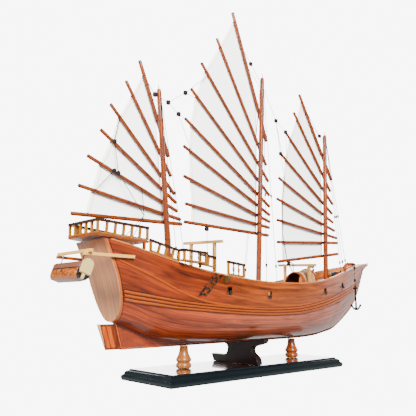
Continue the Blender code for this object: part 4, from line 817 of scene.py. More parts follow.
class Shape:
    """Surfaces gathered into one mesh."""

    def __init__(self):
        self.points, self.faces, self.corners, self.fills, self.extra = [], [], [], [], []
        self.total = 0

    def grid(self, points, closed=False, fill=0, uv=None, extra=0.0):
        """Quads over (rows, columns, 3) points.

        Without a map of its own, u is the mean distance down the rows and v across them;
        extra is one more number for each point.
        """
        points = np.asarray(points, float)
        rows, cols = points.shape[:2]
        if uv is None:
            around = np.concatenate([points, points[:, :1]], axis=1) if closed else points
            down = np.linalg.norm(np.diff(points, axis=0), axis=2).mean(1)
            across = np.linalg.norm(np.diff(around, axis=1), axis=2).mean(0)
            u, v = (np.concatenate([[0.0], np.cumsum(steps)]) for steps in (down, across))
            uv = np.stack(np.meshgrid(u, v, indexing="ij"), -1) * MM
        spans = cols if closed else cols - 1
        i, j = np.meshgrid(np.arange(rows - 1), np.arange(spans), indexing="ij")
        i, j = i.ravel(), j.ravel()
        k = (j + 1) % cols
        quads = np.stack([i * cols + j, i * cols + k, (i + 1) * cols + k, (i + 1) * cols + j], -1)
        self.faces.append(quads + self.total)
        self.corners.append(np.stack([uv[i, j], uv[i, j + 1], uv[i + 1, j + 1], uv[i + 1, j]], 1))
        self.fills.append(np.broadcast_to(np.asarray(fill), (cols + 1,))[j] if np.ndim(fill)
                          else np.full(len(i), fill))
        self.points.append(points.reshape(-1, 3))
        self.extra.append(np.broadcast_to(np.asarray(extra, float), (rows, cols)).ravel())
        self.total += rows * cols
        return self

    def closed(self, rings, fill=0):
        """Closed rings whose first and last are each filled in to their middle."""
        ends = rings.mean(1, keepdims=True).repeat(rings.shape[1], 1)
        return self.grid(np.concatenate([ends[:1], rings, ends[-1:]]), True, fill)

    def barrel(self, x, y, z, radius, sides, fill=0):
        """Circles of the given radii at places y along an axis that lies athwart the ship."""
        turn, radius = circle(sides), radius[:, None]
        y = np.broadcast_to(y[:, None], (len(y), sides))
        return self.grid(np.stack([x + radius * np.cos(turn), y, z + radius * np.sin(turn)], -1),
                         True, fill)

    def tube(self, path, radius, sides=8, fill=0, rounded=True, extra=None):
        """Round section carried along a path, its ends drawn in to a point."""
        path = np.asarray(path, float)
        radius = np.broadcast_to(np.asarray(radius, float), (len(path),))
        tangents = unit(np.gradient(path, axis=0))
        spread = np.abs(path[-1] - path[0]) + 1e-6
        reference = np.eye(3)[np.argmin(spread)]
        turns = np.radians([0.0, 30.0, 60.0, 90.0]) if rounded else np.array([0.0, 0.0])
        pull = np.cos(turns) if rounded else np.array([1.0, 0.0])
        reach = np.sin(turns) * 0.6
        start = [(path[0] - tangents[0] * radius[0] * s, radius[0] * c, tangents[0])
                 for s, c in zip(reach[::-1], pull[::-1])]
        end = [(path[-1] + tangents[-1] * radius[-1] * s, radius[-1] * c, tangents[-1])
               for s, c in zip(reach, pull)]
        rows = start + list(zip(path[1:-1], radius[1:-1], tangents[1:-1])) + end
        centres, radii, tangents = (np.array(part) for part in zip(*rows))
        side = unit(np.cross(tangents, reference))
        other = np.cross(tangents, side)
        turn = circle(sides)
        ring = side[:, None] * np.cos(turn)[:, None] + other[:, None] * np.sin(turn)[:, None]
        extra = 0.0 if extra is None else np.broadcast_to(extra[:, None], ring.shape[:2])
        return self.grid(centres[:, None] + ring * radii[:, None, None], True, fill, extra=extra)

    def lathe(self, profile, centre, sides=40, fill=0):
        """Profile of (radius, height) turned about an upright line."""
        profile = np.array([(0.0, profile[0][1]), *profile, (0.0, profile[-1][1])])
        turn = circle(sides)
        x = centre[0] + profile[:, :1] * np.cos(turn)
        y = centre[1] + profile[:, :1] * np.sin(turn)
        z = np.broadcast_to(profile[:, 1:] + centre[2], x.shape)
        return self.grid(np.stack([x, y, z], -1), True, fill)

    def ring(self, centre, first, second, thick, sides=14, fill=0):
        """Cord ring whose middle runs round the ellipse of two half axes."""
        first, second = np.array(first, float), np.array(second, float)
        turn = np.linspace(0, 2 * math.pi, sides + 1)[:, None]
        spin = circle(6)
        out = first * np.cos(turn) + second * np.sin(turn)
        lift = unit(np.cross(first, second))
        points = (np.array(centre) + out)[:, None] + thick * (
            unit(out)[:, None] * np.cos(spin)[:, None] + lift * np.sin(spin)[:, None])
        return self.grid(points, True, fill)

    def ball(self, centre, sizes, fill=0, power=0.7):
        """Rounded block: cosines and sines raised to a power, by its three half sizes."""
        a, b = np.meshgrid(np.linspace(-90, 90, 9), np.arange(12) * 30.0, indexing="ij")

        def soft(angle, wave):
            """Wave raised to the power, with its sign kept."""
            value = wave(np.radians(angle))
            return np.sign(value) * np.abs(value) ** power

        points = np.stack([soft(a, np.cos) * soft(b, np.cos), soft(a, np.cos) * soft(b, np.sin),
                           soft(a, np.sin)], -1)
        return self.grid(np.array(centre) + points * np.array(sizes), True, fill)

    def sweep(self, path, section, ups, fill=0):
        """Closed section of (side, up) carried along a path, mitred at its corners."""
        path = np.asarray(path, float)
        ups = np.broadcast_to(np.asarray(ups, float), path.shape)
        legs = unit(np.diff(path, axis=0))
        before, after = np.vstack([legs[:1], legs]), np.vstack([legs, legs[-1:]])
        along = unit(before + after)
        stretch = 1.0 / np.maximum(0.35, (along * after).sum(1))
        side = unit(np.cross(ups, along)) * stretch[:, None]
        section = np.asarray(section, float)
        return self.closed(path[:, None] + side[:, None] * section[:, :1]
                           + unit(ups)[:, None] * section[:, 1:], fill)

    def timber(self, start, end, width, height, fill=0, chamfer=0.25, up=(0.0, 0.0, 1.0)):
        """Straight beam with eased edges; up is the direction of its height."""
        start, end, up = np.array(start, float), np.array(end, float), np.array(up, float)
        along = unit(end - start)
        if abs(along @ up) > 0.95:
            up = np.array((0.0, 1.0, 0.0))
        side = unit(np.cross(up, along))
        up = np.cross(along, side)
        a, b, c = width / 2, height / 2, chamfer
        outline = np.array([(-a + c, -b), (a - c, -b), (a, -b + c), (a, b - c), (a - c, b),
                            (-a + c, b), (-a, b - c), (-a, -b + c)])
        rows = []
        for place, shrink in ((start, 0.0), (start, 1.0 - c / max(a, b)), (start + along * c, 1.0),
                              (end - along * c, 1.0), (end, 1.0 - c / max(a, b)), (end, 0.0)):
            rows.append(place + (side * outline[:, :1] + up * outline[:, 1:]) * shrink)
        return self.grid(np.array(rows), True, fill)

    def mesh(self, name):
        """Mesh of all surfaces as they were laid."""
        mesh = bpy.data.meshes.new(name)
        points, faces = np.concatenate(self.points) * MM, np.concatenate(self.faces)
        mesh.from_pydata(points.tolist(), [], faces.tolist())
        return mesh

    def build(self, name, body, slot, fills, replaces=(), extra=None, sharp=38.0):
        """Mesh object from the surfaces, merged, facing outwards, riding on a body."""
        mesh = self.mesh(name)
        layer = mesh.uv_layers.new(name="place")
        layer.data.foreach_set("uv", np.concatenate(self.corners).ravel())
        mesh.polygons.foreach_set("material_index", np.concatenate(self.fills).astype(np.int32))
        if extra:
            attribute = mesh.attributes.new(extra, "FLOAT", "POINT")
            attribute.data.foreach_set("value", np.concatenate(self.extra))
        return place_piece(merged(mesh), name, body, slot, fills, replaces, sharp)


def merged(mesh, flat=0.0):
    """Joins doubled points, then dissolves edges flatter than an angle or turns faces out."""
    bm = bmesh.new()
    bm.from_mesh(mesh)
    bmesh.ops.remove_doubles(bm, verts=bm.verts, dist=MERGE_M)
    if flat:
        bmesh.ops.dissolve_limit(bm, angle_limit=math.radians(flat), verts=bm.verts, edges=bm.edges)
    else:
        bmesh.ops.recalc_face_normals(bm, faces=bm.faces)
    bm.to_mesh(mesh)
    bm.free()
    return mesh


def add_object(name, data):
    """New object in the scene."""
    thing = bpy.data.objects.new(name, data)
    bpy.context.scene.collection.objects.link(thing)
    return thing


def place_piece(mesh, name, body, slot, fills, replaces=(), sharp=38.0):
    """Piece of the ship from a mesh, with its finishes, body and the nodes it replaces; slot is not
    used.
    """
    mesh.shade_smooth()
    mesh.set_sharp_from_angle(angle=math.radians(sharp))
    piece = add_object(name, mesh)
    for fill in fills:
        mesh.materials.append(finish(fill))
    if body:
        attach(piece, body)
    if replaces:
        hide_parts(*replaces)
    return piece


def body_of(node):
    """Body that carries a node."""
    bodies = frame["record"]["behaviour"]["bodies"]
    return next(name for name, nodes in bodies.items() if node in nodes)


def slot_of(node):
    """Material slot of a node."""
    return next(row["material_slot"] for row in frame["record"]["subparts"] if row["node"] == node)


def dressed(node, fill, bevel):
    """Merged copy of a node's mesh with eased edges, in place of the node."""
    mesh = frame["nodes"][node].data.copy()
    mesh.materials.clear()
    piece = place_piece(merged(mesh, 0.6), f"{node}_finish", body_of(node), slot_of(node), [fill],
                        (node,))
    edge = piece.modifiers.new("eased", "BEVEL")
    edge.width, edge.segments, edge.limit_method = bevel * MM, 2, "ANGLE"
    edge.angle_limit = math.radians(40.0)


def node_points(node):
    """Points of a node in millimetres."""
    mesh = frame["nodes"][node].data
    points = np.empty(len(mesh.vertices) * 3)
    mesh.vertices.foreach_get("co", points)
    return points.reshape(-1, 3) / MM


def rod_of(node):
    """Axis ends and end radii of a straight rod, from its node's points."""
    points = node_points(node)
    middle = (points.min(0) + points.max(0)) / 2
    direction = np.linalg.svd(points - middle, full_matrices=False)[2][0]
    direction = direction * np.sign(direction[2] + 1e-9)
    along = (points - middle) @ direction
    away = np.linalg.norm(points - middle - along[:, None] * direction, axis=1)
    low, high = along < along.min() + 0.5, along > along.max() - 0.5
    return (middle + direction * along.min(), middle + direction * along.max(),
            away[low].max(), away[high].max())


def mast_of(name):
    """Foot, head and radii of a mast, without its pin."""
    points = node_points(f"{name}_mast")
    height = points[:, 2]
    low, top = points[height < height.min() + 1.5], points[height > height.max() - PIN_REACH]
    wide = points[np.abs(points[:, 1]) > 0.9 * top[:, 1].max()]
    shoulder = wide[wide[:, 2] > wide[:, 2].max() - 1.5]
    return low.mean(0), shoulder.mean(0), low[:, 1].max(), shoulder[:, 1].max()


class JunkStep(bpy.types.Operator):
    """Common ground of the steps."""
    bl_options = {"REGISTER", "UNDO"}

    def execute(self, context):
        self.make(context.scene.junk_sizes)
        return {"FINISHED"}


def soft_box(name, place, size, power):
    """Square lamp at a place in metres, turned to the ship."""
    lamp = bpy.data.lights.new(name, "AREA")
    lamp.size, lamp.energy = size, power
    light = add_object(name, lamp)
    light.location = place
    aim = np.array(LAMP_AIM_M) - np.array(place)
    light.rotation_euler = (math.atan2(math.hypot(aim[0], aim[1]), -aim[2]), 0.0,
                            math.atan2(-aim[0], aim[1]))
    return light


class JUNK_OT_stage(JunkStep):
    """Pale floor, soft light all round and the camera"""
    bl_idname = "junk.stage"
    bl_label = "Stage"

    def make(self, sizes):
        """Camera by its heading and tilt, then the floor, the room and the soft boxes."""
        camera = add_object("camera", bpy.data.cameras.new("camera"))
        camera.data.lens, camera.data.sensor_width = CAMERA_LENS, SENSOR_WIDTH
        camera.location = CAMERA_PLACE_M
        camera.rotation_euler = (math.radians(90.0 + CAMERA_TILT), 0.0,
                                 math.radians(CAMERA_HEADING - 90.0))
        bpy.context.scene.camera = camera
        self.floor()
        self.room()
        for lamp in LAMPS:
            soft_box(*lamp)

    def floor(self):
        """White to the camera, dull grey to the ship, bright again in its gloss."""
        r = FLOOR_REACH
        shape = Shape()
        shape.grid(np.array([[(-r, -r, 0), (r, -r, 0)], [(-r, r, 0), (r, r, 0)]]))
        mesh = shape.mesh("floor")
        floor = add_object("floor", mesh)
        paint = Paint("floor_white")
        cloud = paint.noise(paint.place(), 3.0, 2.0)
        grey = paint.mix(cloud * 0.1, FLOOR_GREY, shade(FLOOR_GREY, 0.95))
        paint.finish(Base_Color=grey, Roughness=0.9)
        glow, polish = (paint.node("Emission", {}, {"Color": WHITE, "Strength": strength}, "Emission")
                        for strength in (BACKDROP, FLOOR_SHEEN))
        seen, glossy = (paint.node("LightPath", {}, {}, f"Is {kind} Ray")
                        for kind in ("Camera", "Glossy"))
        dull = Field(paint, paint.shader.outputs[0])
        plain = paint.node("MixShader", {}, {0: glossy, 1: dull, 2: polish})
        both = paint.node("MixShader", {}, {0: seen, 1: plain, 2: glow})
        paint.tree.links.new(both.socket, paint.tree.nodes["Material Output"].inputs["Surface"])
        mesh.materials.append(paint.material)

    def room(self):
        """Even white light, brighter where the camera looks past the ship."""
        world = bpy.data.worlds.new("studio")
        world.use_nodes = True
        tree = world.node_tree
        soft = tree.nodes["Background"]
        white, seen, both = (tree.nodes.new("ShaderNode" + kind)
                             for kind in ("Background", "LightPath", "MixShader"))
        for node, strength in ((soft, AMBIENT), (white, BACKDROP)):
            node.inputs["Color"].default_value = (*WHITE, 1.0)
            node.inputs["Strength"].default_value = strength
        for source, target in ((seen.outputs["Is Camera Ray"], both.inputs[0]),
                               (soft.outputs[0], both.inputs[1]), (white.outputs[0], both.inputs[2]),
                               (both.outputs[0], tree.nodes["World Output"].inputs["Surface"])):
            tree.links.new(source, target)
        bpy.context.scene.world = world


class JUNK_OT_base(JunkStep):
    """Moulded plinth, turned columns and the cradle"""
    bl_idname = "junk.base"
    bl_label = "Base"

    def make(self, sizes):
        """Plinth: its rectangle drawn in by a moulding. Columns: a profile turned about their axes."""
        low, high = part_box("base_plate")
        length, width, height = (np.array(high) - np.array(low)) / MM
        # inset from the edge and height: bullnose below, cove above
        nose, cove = np.radians(np.linspace(-55, 62, 9)), np.radians(np.linspace(0, 90, 8))
        profile = [(1.6, 0.0), (0.7, 0.5)]
        profile += list(zip(2.6 - 2.6 * np.cos(nose), 4.6 + 3.6 * np.sin(nose)))
        profile += list(zip(9.0 - 5.6 * np.cos(cove), 8.6 + 5.8 * np.sin(cove)))
        profile += [(9.0, 15.4), (9.4, height - 0.4), (9.9, height)]
        inset, z = np.array(profile).T
        x, y = length / 2 - inset, width / 2 - inset
        rings = np.stack([np.stack([a * x, b * y, z], -1)
                          for a, b in ((-1, -1), (1, -1), (1, 1), (-1, 1))], 1)
        shape = Shape()
        shape.grid(rings, True)
        for row, fill in ((-1, 1), (0, 0)):
            shape.grid(np.array([rings[row, [0, 1]], rings[row, [3, 2]]]), fill=fill)
        shape.build("plinth", "model", "lacquer", ["lacquer", "base_top"], ("base_plate",), sharp=28.0)
        for node, fill in (("column_aft", "maple"), ("column_fore", "cherry")):
            low, high = (np.array(corner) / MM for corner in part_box(node))
            middle = (low + high) / 2
            profile = [(radius, share * (high[2] - low[2])) for radius, share in COLUMN_PROFILE]
            shape = Shape()
            shape.lathe(profile, (middle[0], middle[1], low[2]), 48)
            shape.build(f"{node}_turned", "model", "turned_maple", [fill], (node,))
        dressed("cradle", "walnut", 0.5)


class JUNK_OT_hull(JunkStep):
    """Planked hull with its gun ports, keel, stern board, cap and mouldings"""
    bl_idname = "junk.hull"
    bl_label = "Hull"

    def make(self, sizes):
        """Skin: a ring of points at each station, up the outside from the keel and down the inside."""
        knots = [row[0] for row in HULL_SECTIONS]
        stations = np.linspace(knots[0], knots[-1], HULL_STATIONS)
        stations = np.unique(np.concatenate([stations, knots]))
        b, g, f, _, _, drop = profile_curve(HULL_SECTIONS, stations).T
        # from the keel up the outside, then over the gunwale and down the inside to the deck
        shares = 1.0 - np.cos(np.linspace(0.0, 1.0, HULL_ROWS)[1:] * math.pi / 2)
        shares = np.concatenate([[0.0005, 0.003], shares])
        low, keel = keel_top(stations, f), np.minimum(KEEL_HALF, 0.9 * b)
        rows_z = [low, np.maximum(f - 2.0, 0.5 * (low + f)), f] + [f + s * (g - f) for s in shares]
        rows_y = [keel, keel, keel] + [hull_breadth(stations, f + s * (g - f)) for s in shares]
        wall = np.minimum(BULWARK, 0.4 * b)
        deck, inner = g - drop, b - wall
        rows_z += [g, deck]
        rows_y += [inner, np.minimum(inner, hull_breadth(stations, deck) - wall)]
        y, z = np.stack(rows_y, 1), np.stack(rows_z, 1)
        x = leaned(stations[:, None], z)
        half = y.shape[1]
        port, board = np.stack([x, y, z], -1), np.stack([x, -y, z], -1)[:, ::-1]
        ring = np.concatenate([port, board], 1)
        # belt: share of the height from the wale's foot to its top, below 0 under it and above 1 over it
        foot, tall = profile_curve(WALE, stations).T
        belt = (z - foot[:, None]) / tall[:, None]
        belt = np.concatenate([belt, belt[:, ::-1]], 1)
        across = np.concatenate([np.linspace(0.0, 1.0, half - 2), [1.0, 1.0]]) * GIRTH_M
        v = np.concatenate([across, across[::-1] + INNER_SIDE_M, [INNER_SIDE_M]])
        uv = np.stack(np.meshgrid(stations * MM, v, indexing="ij"), -1)
        fills = np.zeros(2 * half + 1, int)
        fills[half - 3:half + 2] = 1
        fills[half - 1] = 2
        shape = Shape()
        shape.grid(ring, True, fills, uv, belt)
        for row in (0, -1):
            shape.grid(np.stack([ring[row, :half], ring[row, ::-1][:half]]), extra=belt[row, :half])
        hull = shape.build("hull_skin", "model", "hull_wood", ["hull", "cap", "deck", "shadow"],
                           ("hull",), extra="belt", sharp=40.0)
        self.cut_ports(hull)
        self.keel()
        self.cap()
        self.mouldings()
        self.stern_board()

    def stern_board(self):
        """Veneered board: the hull's last breadth over its height, set on the stern's slope."""
        z = STERN_HEIGHTS[2] + (STERN_HEIGHTS[-1] - STERN_HEIGHTS[2]) * np.linspace(0.0, 1.0, 30) ** 2
        place = np.interp(z, STERN_HEIGHTS, STERN_PLACES)
        half = np.maximum(hull_breadth(STERN_X, z), 1.5)
        # distance aft of the stern, side, and how far the after edge is eased
        corners = ((-2.1, -1.0, 0.0), (-2.5, -1.0, 0.4), (-2.5, 1.0, -0.4), (-2.1, 1.0, 0.0),
                   (-GAP, 1.0, 0.0), (-GAP, -1.0, 0.0))
        shape = Shape()
        shape.closed(np.stack([np.stack([place + out, side * half + ease, z], -1)
                               for out, side, ease in corners], 1))
        shape.build("stern_board", "model", "transom_veneer", ["veneer"], ("transom_board",))

    def cut_ports(self, hull):
        """Ports cut through the bulwarks, their walls painted dark as shade."""
        cutter = Shape()
        for x, z in GUN_PORTS:
            middle = hull_breadth(x, z)
            for side in (-1, 1):
                cutter.timber((x, side * (middle - 7.0), z), (x, side * (middle + 4.0), z),
                              GUN_PORT_WIDTH, GUN_PORT_SIZE, chamfer=0.3)
        mesh = merged(cutter.mesh("port_cutter"))
        mesh.materials.append(finish("shadow"))
        tool = add_object("port_cutter", mesh)
        cut = hull.modifiers.new("ports", "BOOLEAN")
        cut.operation, cut.solver, cut.material_mode = "DIFFERENCE", "EXACT", "TRANSFER"
        cut.object = tool
        graph = bpy.context.evaluated_depsgraph_get()
        result = bpy.data.meshes.new_from_object(
            hull.evaluated_get(graph), preserve_all_data_layers=True, depsgraph=graph)
        hull.modifiers.clear()
        hull.data = result
        bpy.data.objects.remove(tool, do_unlink=True)

    def keel(self):
        """Keel bar swept up into the stem, narrow side down."""
        stations = np.concatenate([np.linspace(KEEL_AFT, STEM_START, 20),
                                   np.linspace(STEM_START + 4.0, KEEL_FORE, 70)])
        b, _, f = profile_curve(HULL_SECTIONS, stations).T[:3]
        top = np.where(stations < STEM_START, KEEL_FLAT, keel_top(stations, f)) - GAP
        low = np.maximum(KEEL_FOOT, top - KEEL_DEPTH)
        width = np.minimum(KEEL_HALF, 0.9 * b)
        bulge = low + 0.7
        ring = [(-0.75, low), (0.75, low), (1.0, bulge), (0.92, top), (-0.92, top), (-1.0, bulge)]
        shape = Shape()
        shape.closed(np.stack([np.stack([stations, share * width, z], -1) for share, z in ring], 1))
        shape.build("keel_and_stem", "model", "hull_wood", ["keel"], ("keel_stem",))

    def cap(self):
        """Rounded cap along both gunwales, meeting ahead of the bow."""
        stations = np.linspace(*CAP_X, BAND_STATIONS)
        b, g = profile_curve(HULL_SECTIONS, stations).T[:2]
        x = leaned(stations, g)
        outer, inner = b + CAP_LIP, b - BULWARK - CAP_LIP
        middle, half = (outer + inner) / 2, (outer - inner) / 2
        # share of the half width, share of the height
        profile = np.array([(-1, 0.05), (-1, 0.6), (-1 + CAP_EDGE, 1.0), (1 - CAP_EDGE, 1.0), (1, 0.6),
                            (1, 0.05), (0.8, 0.0), (-0.8, 0.0)])

        def side_rings(side):
            """Sections of the cap along one gunwale."""
            y = side * (middle[:, None] + half[:, None] * profile[:, 0])
            z = g[:, None] + GAP + CAP_HEIGHT * profile[:, 1]
            return np.stack([np.broadcast_to(x[:, None], y.shape), y, z], -1)

        tip, crotch = np.array(CAP_TIP), np.array(CAP_CROTCH)
        reach = (tip[0] + crotch[0]) / 2 + (tip[0] - crotch[0]) / 2 * profile[:, 0]
        rise = np.interp(reach, (crotch[0], tip[0]), (crotch[1], tip[1]))
        end = np.stack([reach, 0 * reach, rise + CAP_HEIGHT * profile[:, 1]], -1)
        shape = Shape()
        shape.closed(np.concatenate([side_rings(1), end[None], side_rings(-1)[::-1]]))
        shape.build("rail_cap_rounded", "model", "cap_wood", ["cap"], ("rail_cap",))

    def mouldings(self):
        """Three half-round bands of the wale, and the strake that leaves it aft."""
        turn = np.radians(np.linspace(-90, 90, 7))
        for name, side in (("starboard", -1), ("port", 1)):
            shape = Shape()
            bands = [(WALE, band) for band in WALE_BANDS] + [(SHEER_STRAKE, (0.0, 1.0))]
            for table, (low, high) in bands:
                stations = np.linspace(table[0][0], table[-1][0], BAND_STATIONS)
                foot, tall = profile_curve(table, stations).T
                middle, reach = (low + high) / 2, (high - low) / 2
                shares = np.concatenate([middle + reach * np.sin(turn), [high, low]])
                outs = np.concatenate([0.2 + BAND_DEPTH * np.cos(turn), [-0.4, -0.4]])
                z = foot[:, None] + tall[:, None] * shares
                shape.closed(hull_point(stations[:, None], z, side, outs))
            shape.build(f"mouldings_{name}", "model", "hull_wood", ["trim"], (f"wale_{name}",))


class JUNK_OT_guns(JunkStep):
    """Gun barrels in the ports, on stepped carriages"""
    bl_idname = "junk.guns"
    bl_label = "Guns"

    def make(self, sizes):
        """Barrels turned about a line athwart, stepped cheeks beside them, and a strip abaft."""
        barrels, carriages, sills = Shape(), Shape(), Shape()
        distance, radius = np.array(GUN_PROFILE).T
        for x, z in GUN_PORTS:
            half, deck = float(hull_breadth(x, z)), float(deck_height(x))
            for side in (-1, 1):
                barrels.barrel(x, side * (half + GUN_REACH - distance), z - GUN_DROP, radius, 14)
                for inboard, rise in CARRIAGE_STEPS:
                    top = max(min(z - 0.6, deck + 12.0) + rise, deck + 2.0)
                    for offset in (-CARRIAGE_HALF, CARRIAGE_HALF):
                        place = (x + offset, side * (half - inboard))
                        carriages.timber((*place, deck), (*place, top), 3.4, 1.3, up=(1.0, 0.0, 0.0))
                # sill: a strip of the port's frame left open abaft the gun
                height = z - SILL_DROP
                start, end = ((x + along, side * (float(hull_breadth(x + along, height)) + 0.4), height)
                              for along in SILL_X)
                sills.timber(start, end, 1.6, 1.8)
        sills.build("gun_sills", "model", "hull_wood", ["cathead"])
        barrels.build("gun_barrels", "model", "anchor_iron", ["bronze"])
        carriages.build("gun_carriages", "model", "cap_wood", ["rail_block"])


class JUNK_OT_rudder(JunkStep):
    """Rudder blade with framed panels"""
    bl_idname = "junk.rudder"
    bl_label = "Rudder"

    def make(self, sizes):
        """The blade with eased edges; the panels are in its finish."""
        dressed("rudder", "rudder", 0.3)


def railing(name, path, counts, height, nodes, turned=(), feet=(), floor=None):
    """Dark cap over golden square slats that lean with their leg, on a golden sill.

    turned lists the legs whose inner posts are round and full in the middle,
    feet the corners whose posts reach down to the cap of the hull, and floor
    the corners of the gallery's floor.
    """
    path = np.asarray(path, float)
    bars, gold = Shape(), Shape()
    w = RAIL_WIDTH / 2

    def section(half, low, high, ease=0.4):
        """Rectangle with its two upper corners eased."""
        return [(-half, low), (half, low), (half, high - ease), (half - ease, high),
                (-half + ease, high), (-half, high - ease)]

    legs = unit(np.diff(path, axis=0))
    reach = path.copy()
    reach[0] -= legs[0] * RAIL_OVERHANG
    reach[-1] += legs[-1] * RAIL_OVERHANG
    sill, bead = 1.8, 2.3
    gold.sweep(path, section(w, 0.0, sill), UPWARDS)
    bars.sweep(path, section(w - 0.7, sill, bead), UPWARDS)
    bars.sweep(reach, section(w, height, height + RAIL_DEPTH), UPWARDS)
    for leg, (start, end, number) in enumerate(zip(path, path[1:], counts)):
        lean = -legs[leg] * legs[leg][2] * height
        for i in range(1 if leg else 0, number + 1):
            place = start + (end - start) * i / number
            corner = i in (0, number)
            if corner or leg not in turned:
                offset = np.zeros(3) if corner else lean * (1, 1, 0)
                foot = GALLERY_RISE - 0.2 if corner and leg + i // number in feet else -0.6
                gold.timber(place - (0, 0, foot), place + offset + (0, 0, height + 0.4), POST_WIDTH,
                            POST_WIDTH, up=(1.0, 0.0, 0.0))
            else:
                gold.lathe([(radius, 1.6 + share * (height - 1.4)) for radius, share in POST_PROFILE],
                           place, 12)
    if floor:
        a, b, c, d = (path[i] for i in floor)
        low, high = np.array((0.0, 0.0, 0.2)), np.array((0.0, 0.0, 2.0))
        bars.grid(np.array([[(a + d) / 2] * 4, [a + low, d + low, d + high, a + high],
                            [b + low, c + low, c + high, b + high], [(b + c) / 2] * 4]), True)
    gold.build(f"{name}_posts", "model", "rail_wood", ["baluster"])
    bars.build(name, "model", "rail_wood", ["rail"], nodes)


class JUNK_OT_poop(JunkStep):
    """Poop platform, its rail, the quarter rails and the waist fence"""
    bl_idname = "junk.poop"
    bl_label = "Poop and rails"

    def make(self, sizes):
        """Railings along corners laid out on the platform and on the cap."""
        dressed("poop_deck", "platform", 0.3)
        aft, fore = np.array(POOP_AFT), np.array(POOP_FORE)

        def corner(x, side):
            """Corner of the rail on the platform, at x."""
            _, half, z = aft + (x - aft[0]) / (fore[0] - aft[0]) * (fore - aft)
            return (x, side * (half - POOP_INSET), z + GAP)

        ends = fore[0] - POOP_INSET, aft[0] + POOP_INSET
        path = [corner(ends[end], side) for end, side in ((0, 1), (1, 1), (1, -1), (0, -1))]
        railing("poop_railing", path, (6, 5, 6), POOP_RAIL_HEIGHT, ("poop_rail",))
        # place along the rail, distance inboard, and rise above the sill of the after leg
        (aft, fore), (near, far), out = QUARTER_RAIL_X, GALLERY_X, RAIL_INBOARD - GALLERY_DEPTH
        corners = ((aft, RAIL_INBOARD, 0.0), (near, RAIL_INBOARD, 0.0), (near, out, 0.0),
                   (far, out, GALLERY_RISE), (far, RAIL_INBOARD, GALLERY_RISE),
                   (fore, RAIL_INBOARD, GALLERY_RISE))
        for name, side in (("starboard", -1), ("port", 1)):
            path = [at_rail(x, side, inboard, GAP + rise + 0.2) for x, inboard, rise in corners]
            railing(f"quarter_railing_{name}", path, (4, 1, 3, 1, 2), FENCE_HEIGHT,
                    (f"quarter_rail_{name}",), turned=(2,), feet=(4, 5), floor=(1, 4, 3, 2))
        path = [at_rail(x, -1, RAIL_INBOARD, GAP) for x in WAIST_FENCE_X]
        railing("waist_railing", path, (3,), WAIST_FENCE_HEIGHT, ("waist_fence",), turned=(0,))


class JUNK_OT_tender(JunkStep):
    """Davits, crossbar and the small boat slung from them"""
    bl_idname = "junk.tender"
    bl_label = "Davits and tender"

    def make(self, sizes):
        """The solids' forms with eased edges; the planking is in the finish."""
        for node, fill in (("davit_starboard", "birch_x"), ("davit_port", "davit_dark"),
                           ("tender", "tender")):
            dressed(node, fill, 0.4)


class JUNK_OT_spars(JunkStep):
    """Masts, yards, battens and booms"""
    bl_idname = "junk.spars"
    bl_label = "Masts and spars"

    def make(self, sizes):
        """For each sail its mast, yard and boom, then the battens."""
        for name in SAILS:
            self.mast(name)
            kinds = spar_kinds(name)
            for kind in (kinds[0], kinds[-1], *kinds[1:-1]):
                self.spar(name, f"{name}_{kind}")

    def mast(self, name):
        """Tapered pole with a rounded head and a pale pin on it."""
        low, high, low_radius, high_radius = mast_of(name)
        share = np.concatenate([np.linspace(0.0, 0.985, 20), [1.0, 1.0, 1.0]])[:, None]
        radius = low_radius + (high_radius - low_radius) * share[:, 0]
        radius[-3:] = high_radius * 0.8, high_radius * 0.45, 0.9
        axis = unit(high - low)
        path = low + (high - low) * share
        path[-2:] += axis * np.array([[0.2], [0.3]])
        shape = Shape()
        shape.tube(path, radius, 20)
        pin_top = high + axis * (node_points(f"{name}_mast")[:, 2].max() - high[2] - 0.6)
        shape.tube([high, (high + pin_top) / 2, pin_top], (1.0, 0.8, 0.5), 8, fill=1)
        shape.build(f"{name}_mast_turned", f"{name}_rig", "spar_wood", ["mast", "plug"],
                    (f"{name}_mast",))

    def spar(self, name, node):
        """Straight tapered rod; end holds the distance to its nearer end in metres."""
        low, high, low_radius, high_radius = rod_of(node)
        share = np.linspace(0.0, 1.0, 14)
        radius = low_radius + (high_radius - low_radius) * share + SPAR_VARNISH
        nearer = np.linalg.norm(high - low) * np.minimum(share, 1.0 - share)
        shape = Shape()
        shape.tube(low + (high - low) * share[:, None], radius, 14,
                   extra=np.concatenate([[0.0] * 3, nearer, [0.0] * 3]) * MM)
        shape.build(f"{node}_turned", f"{name}_rig", "spar_wood", ["spar"], (node,), extra="end")


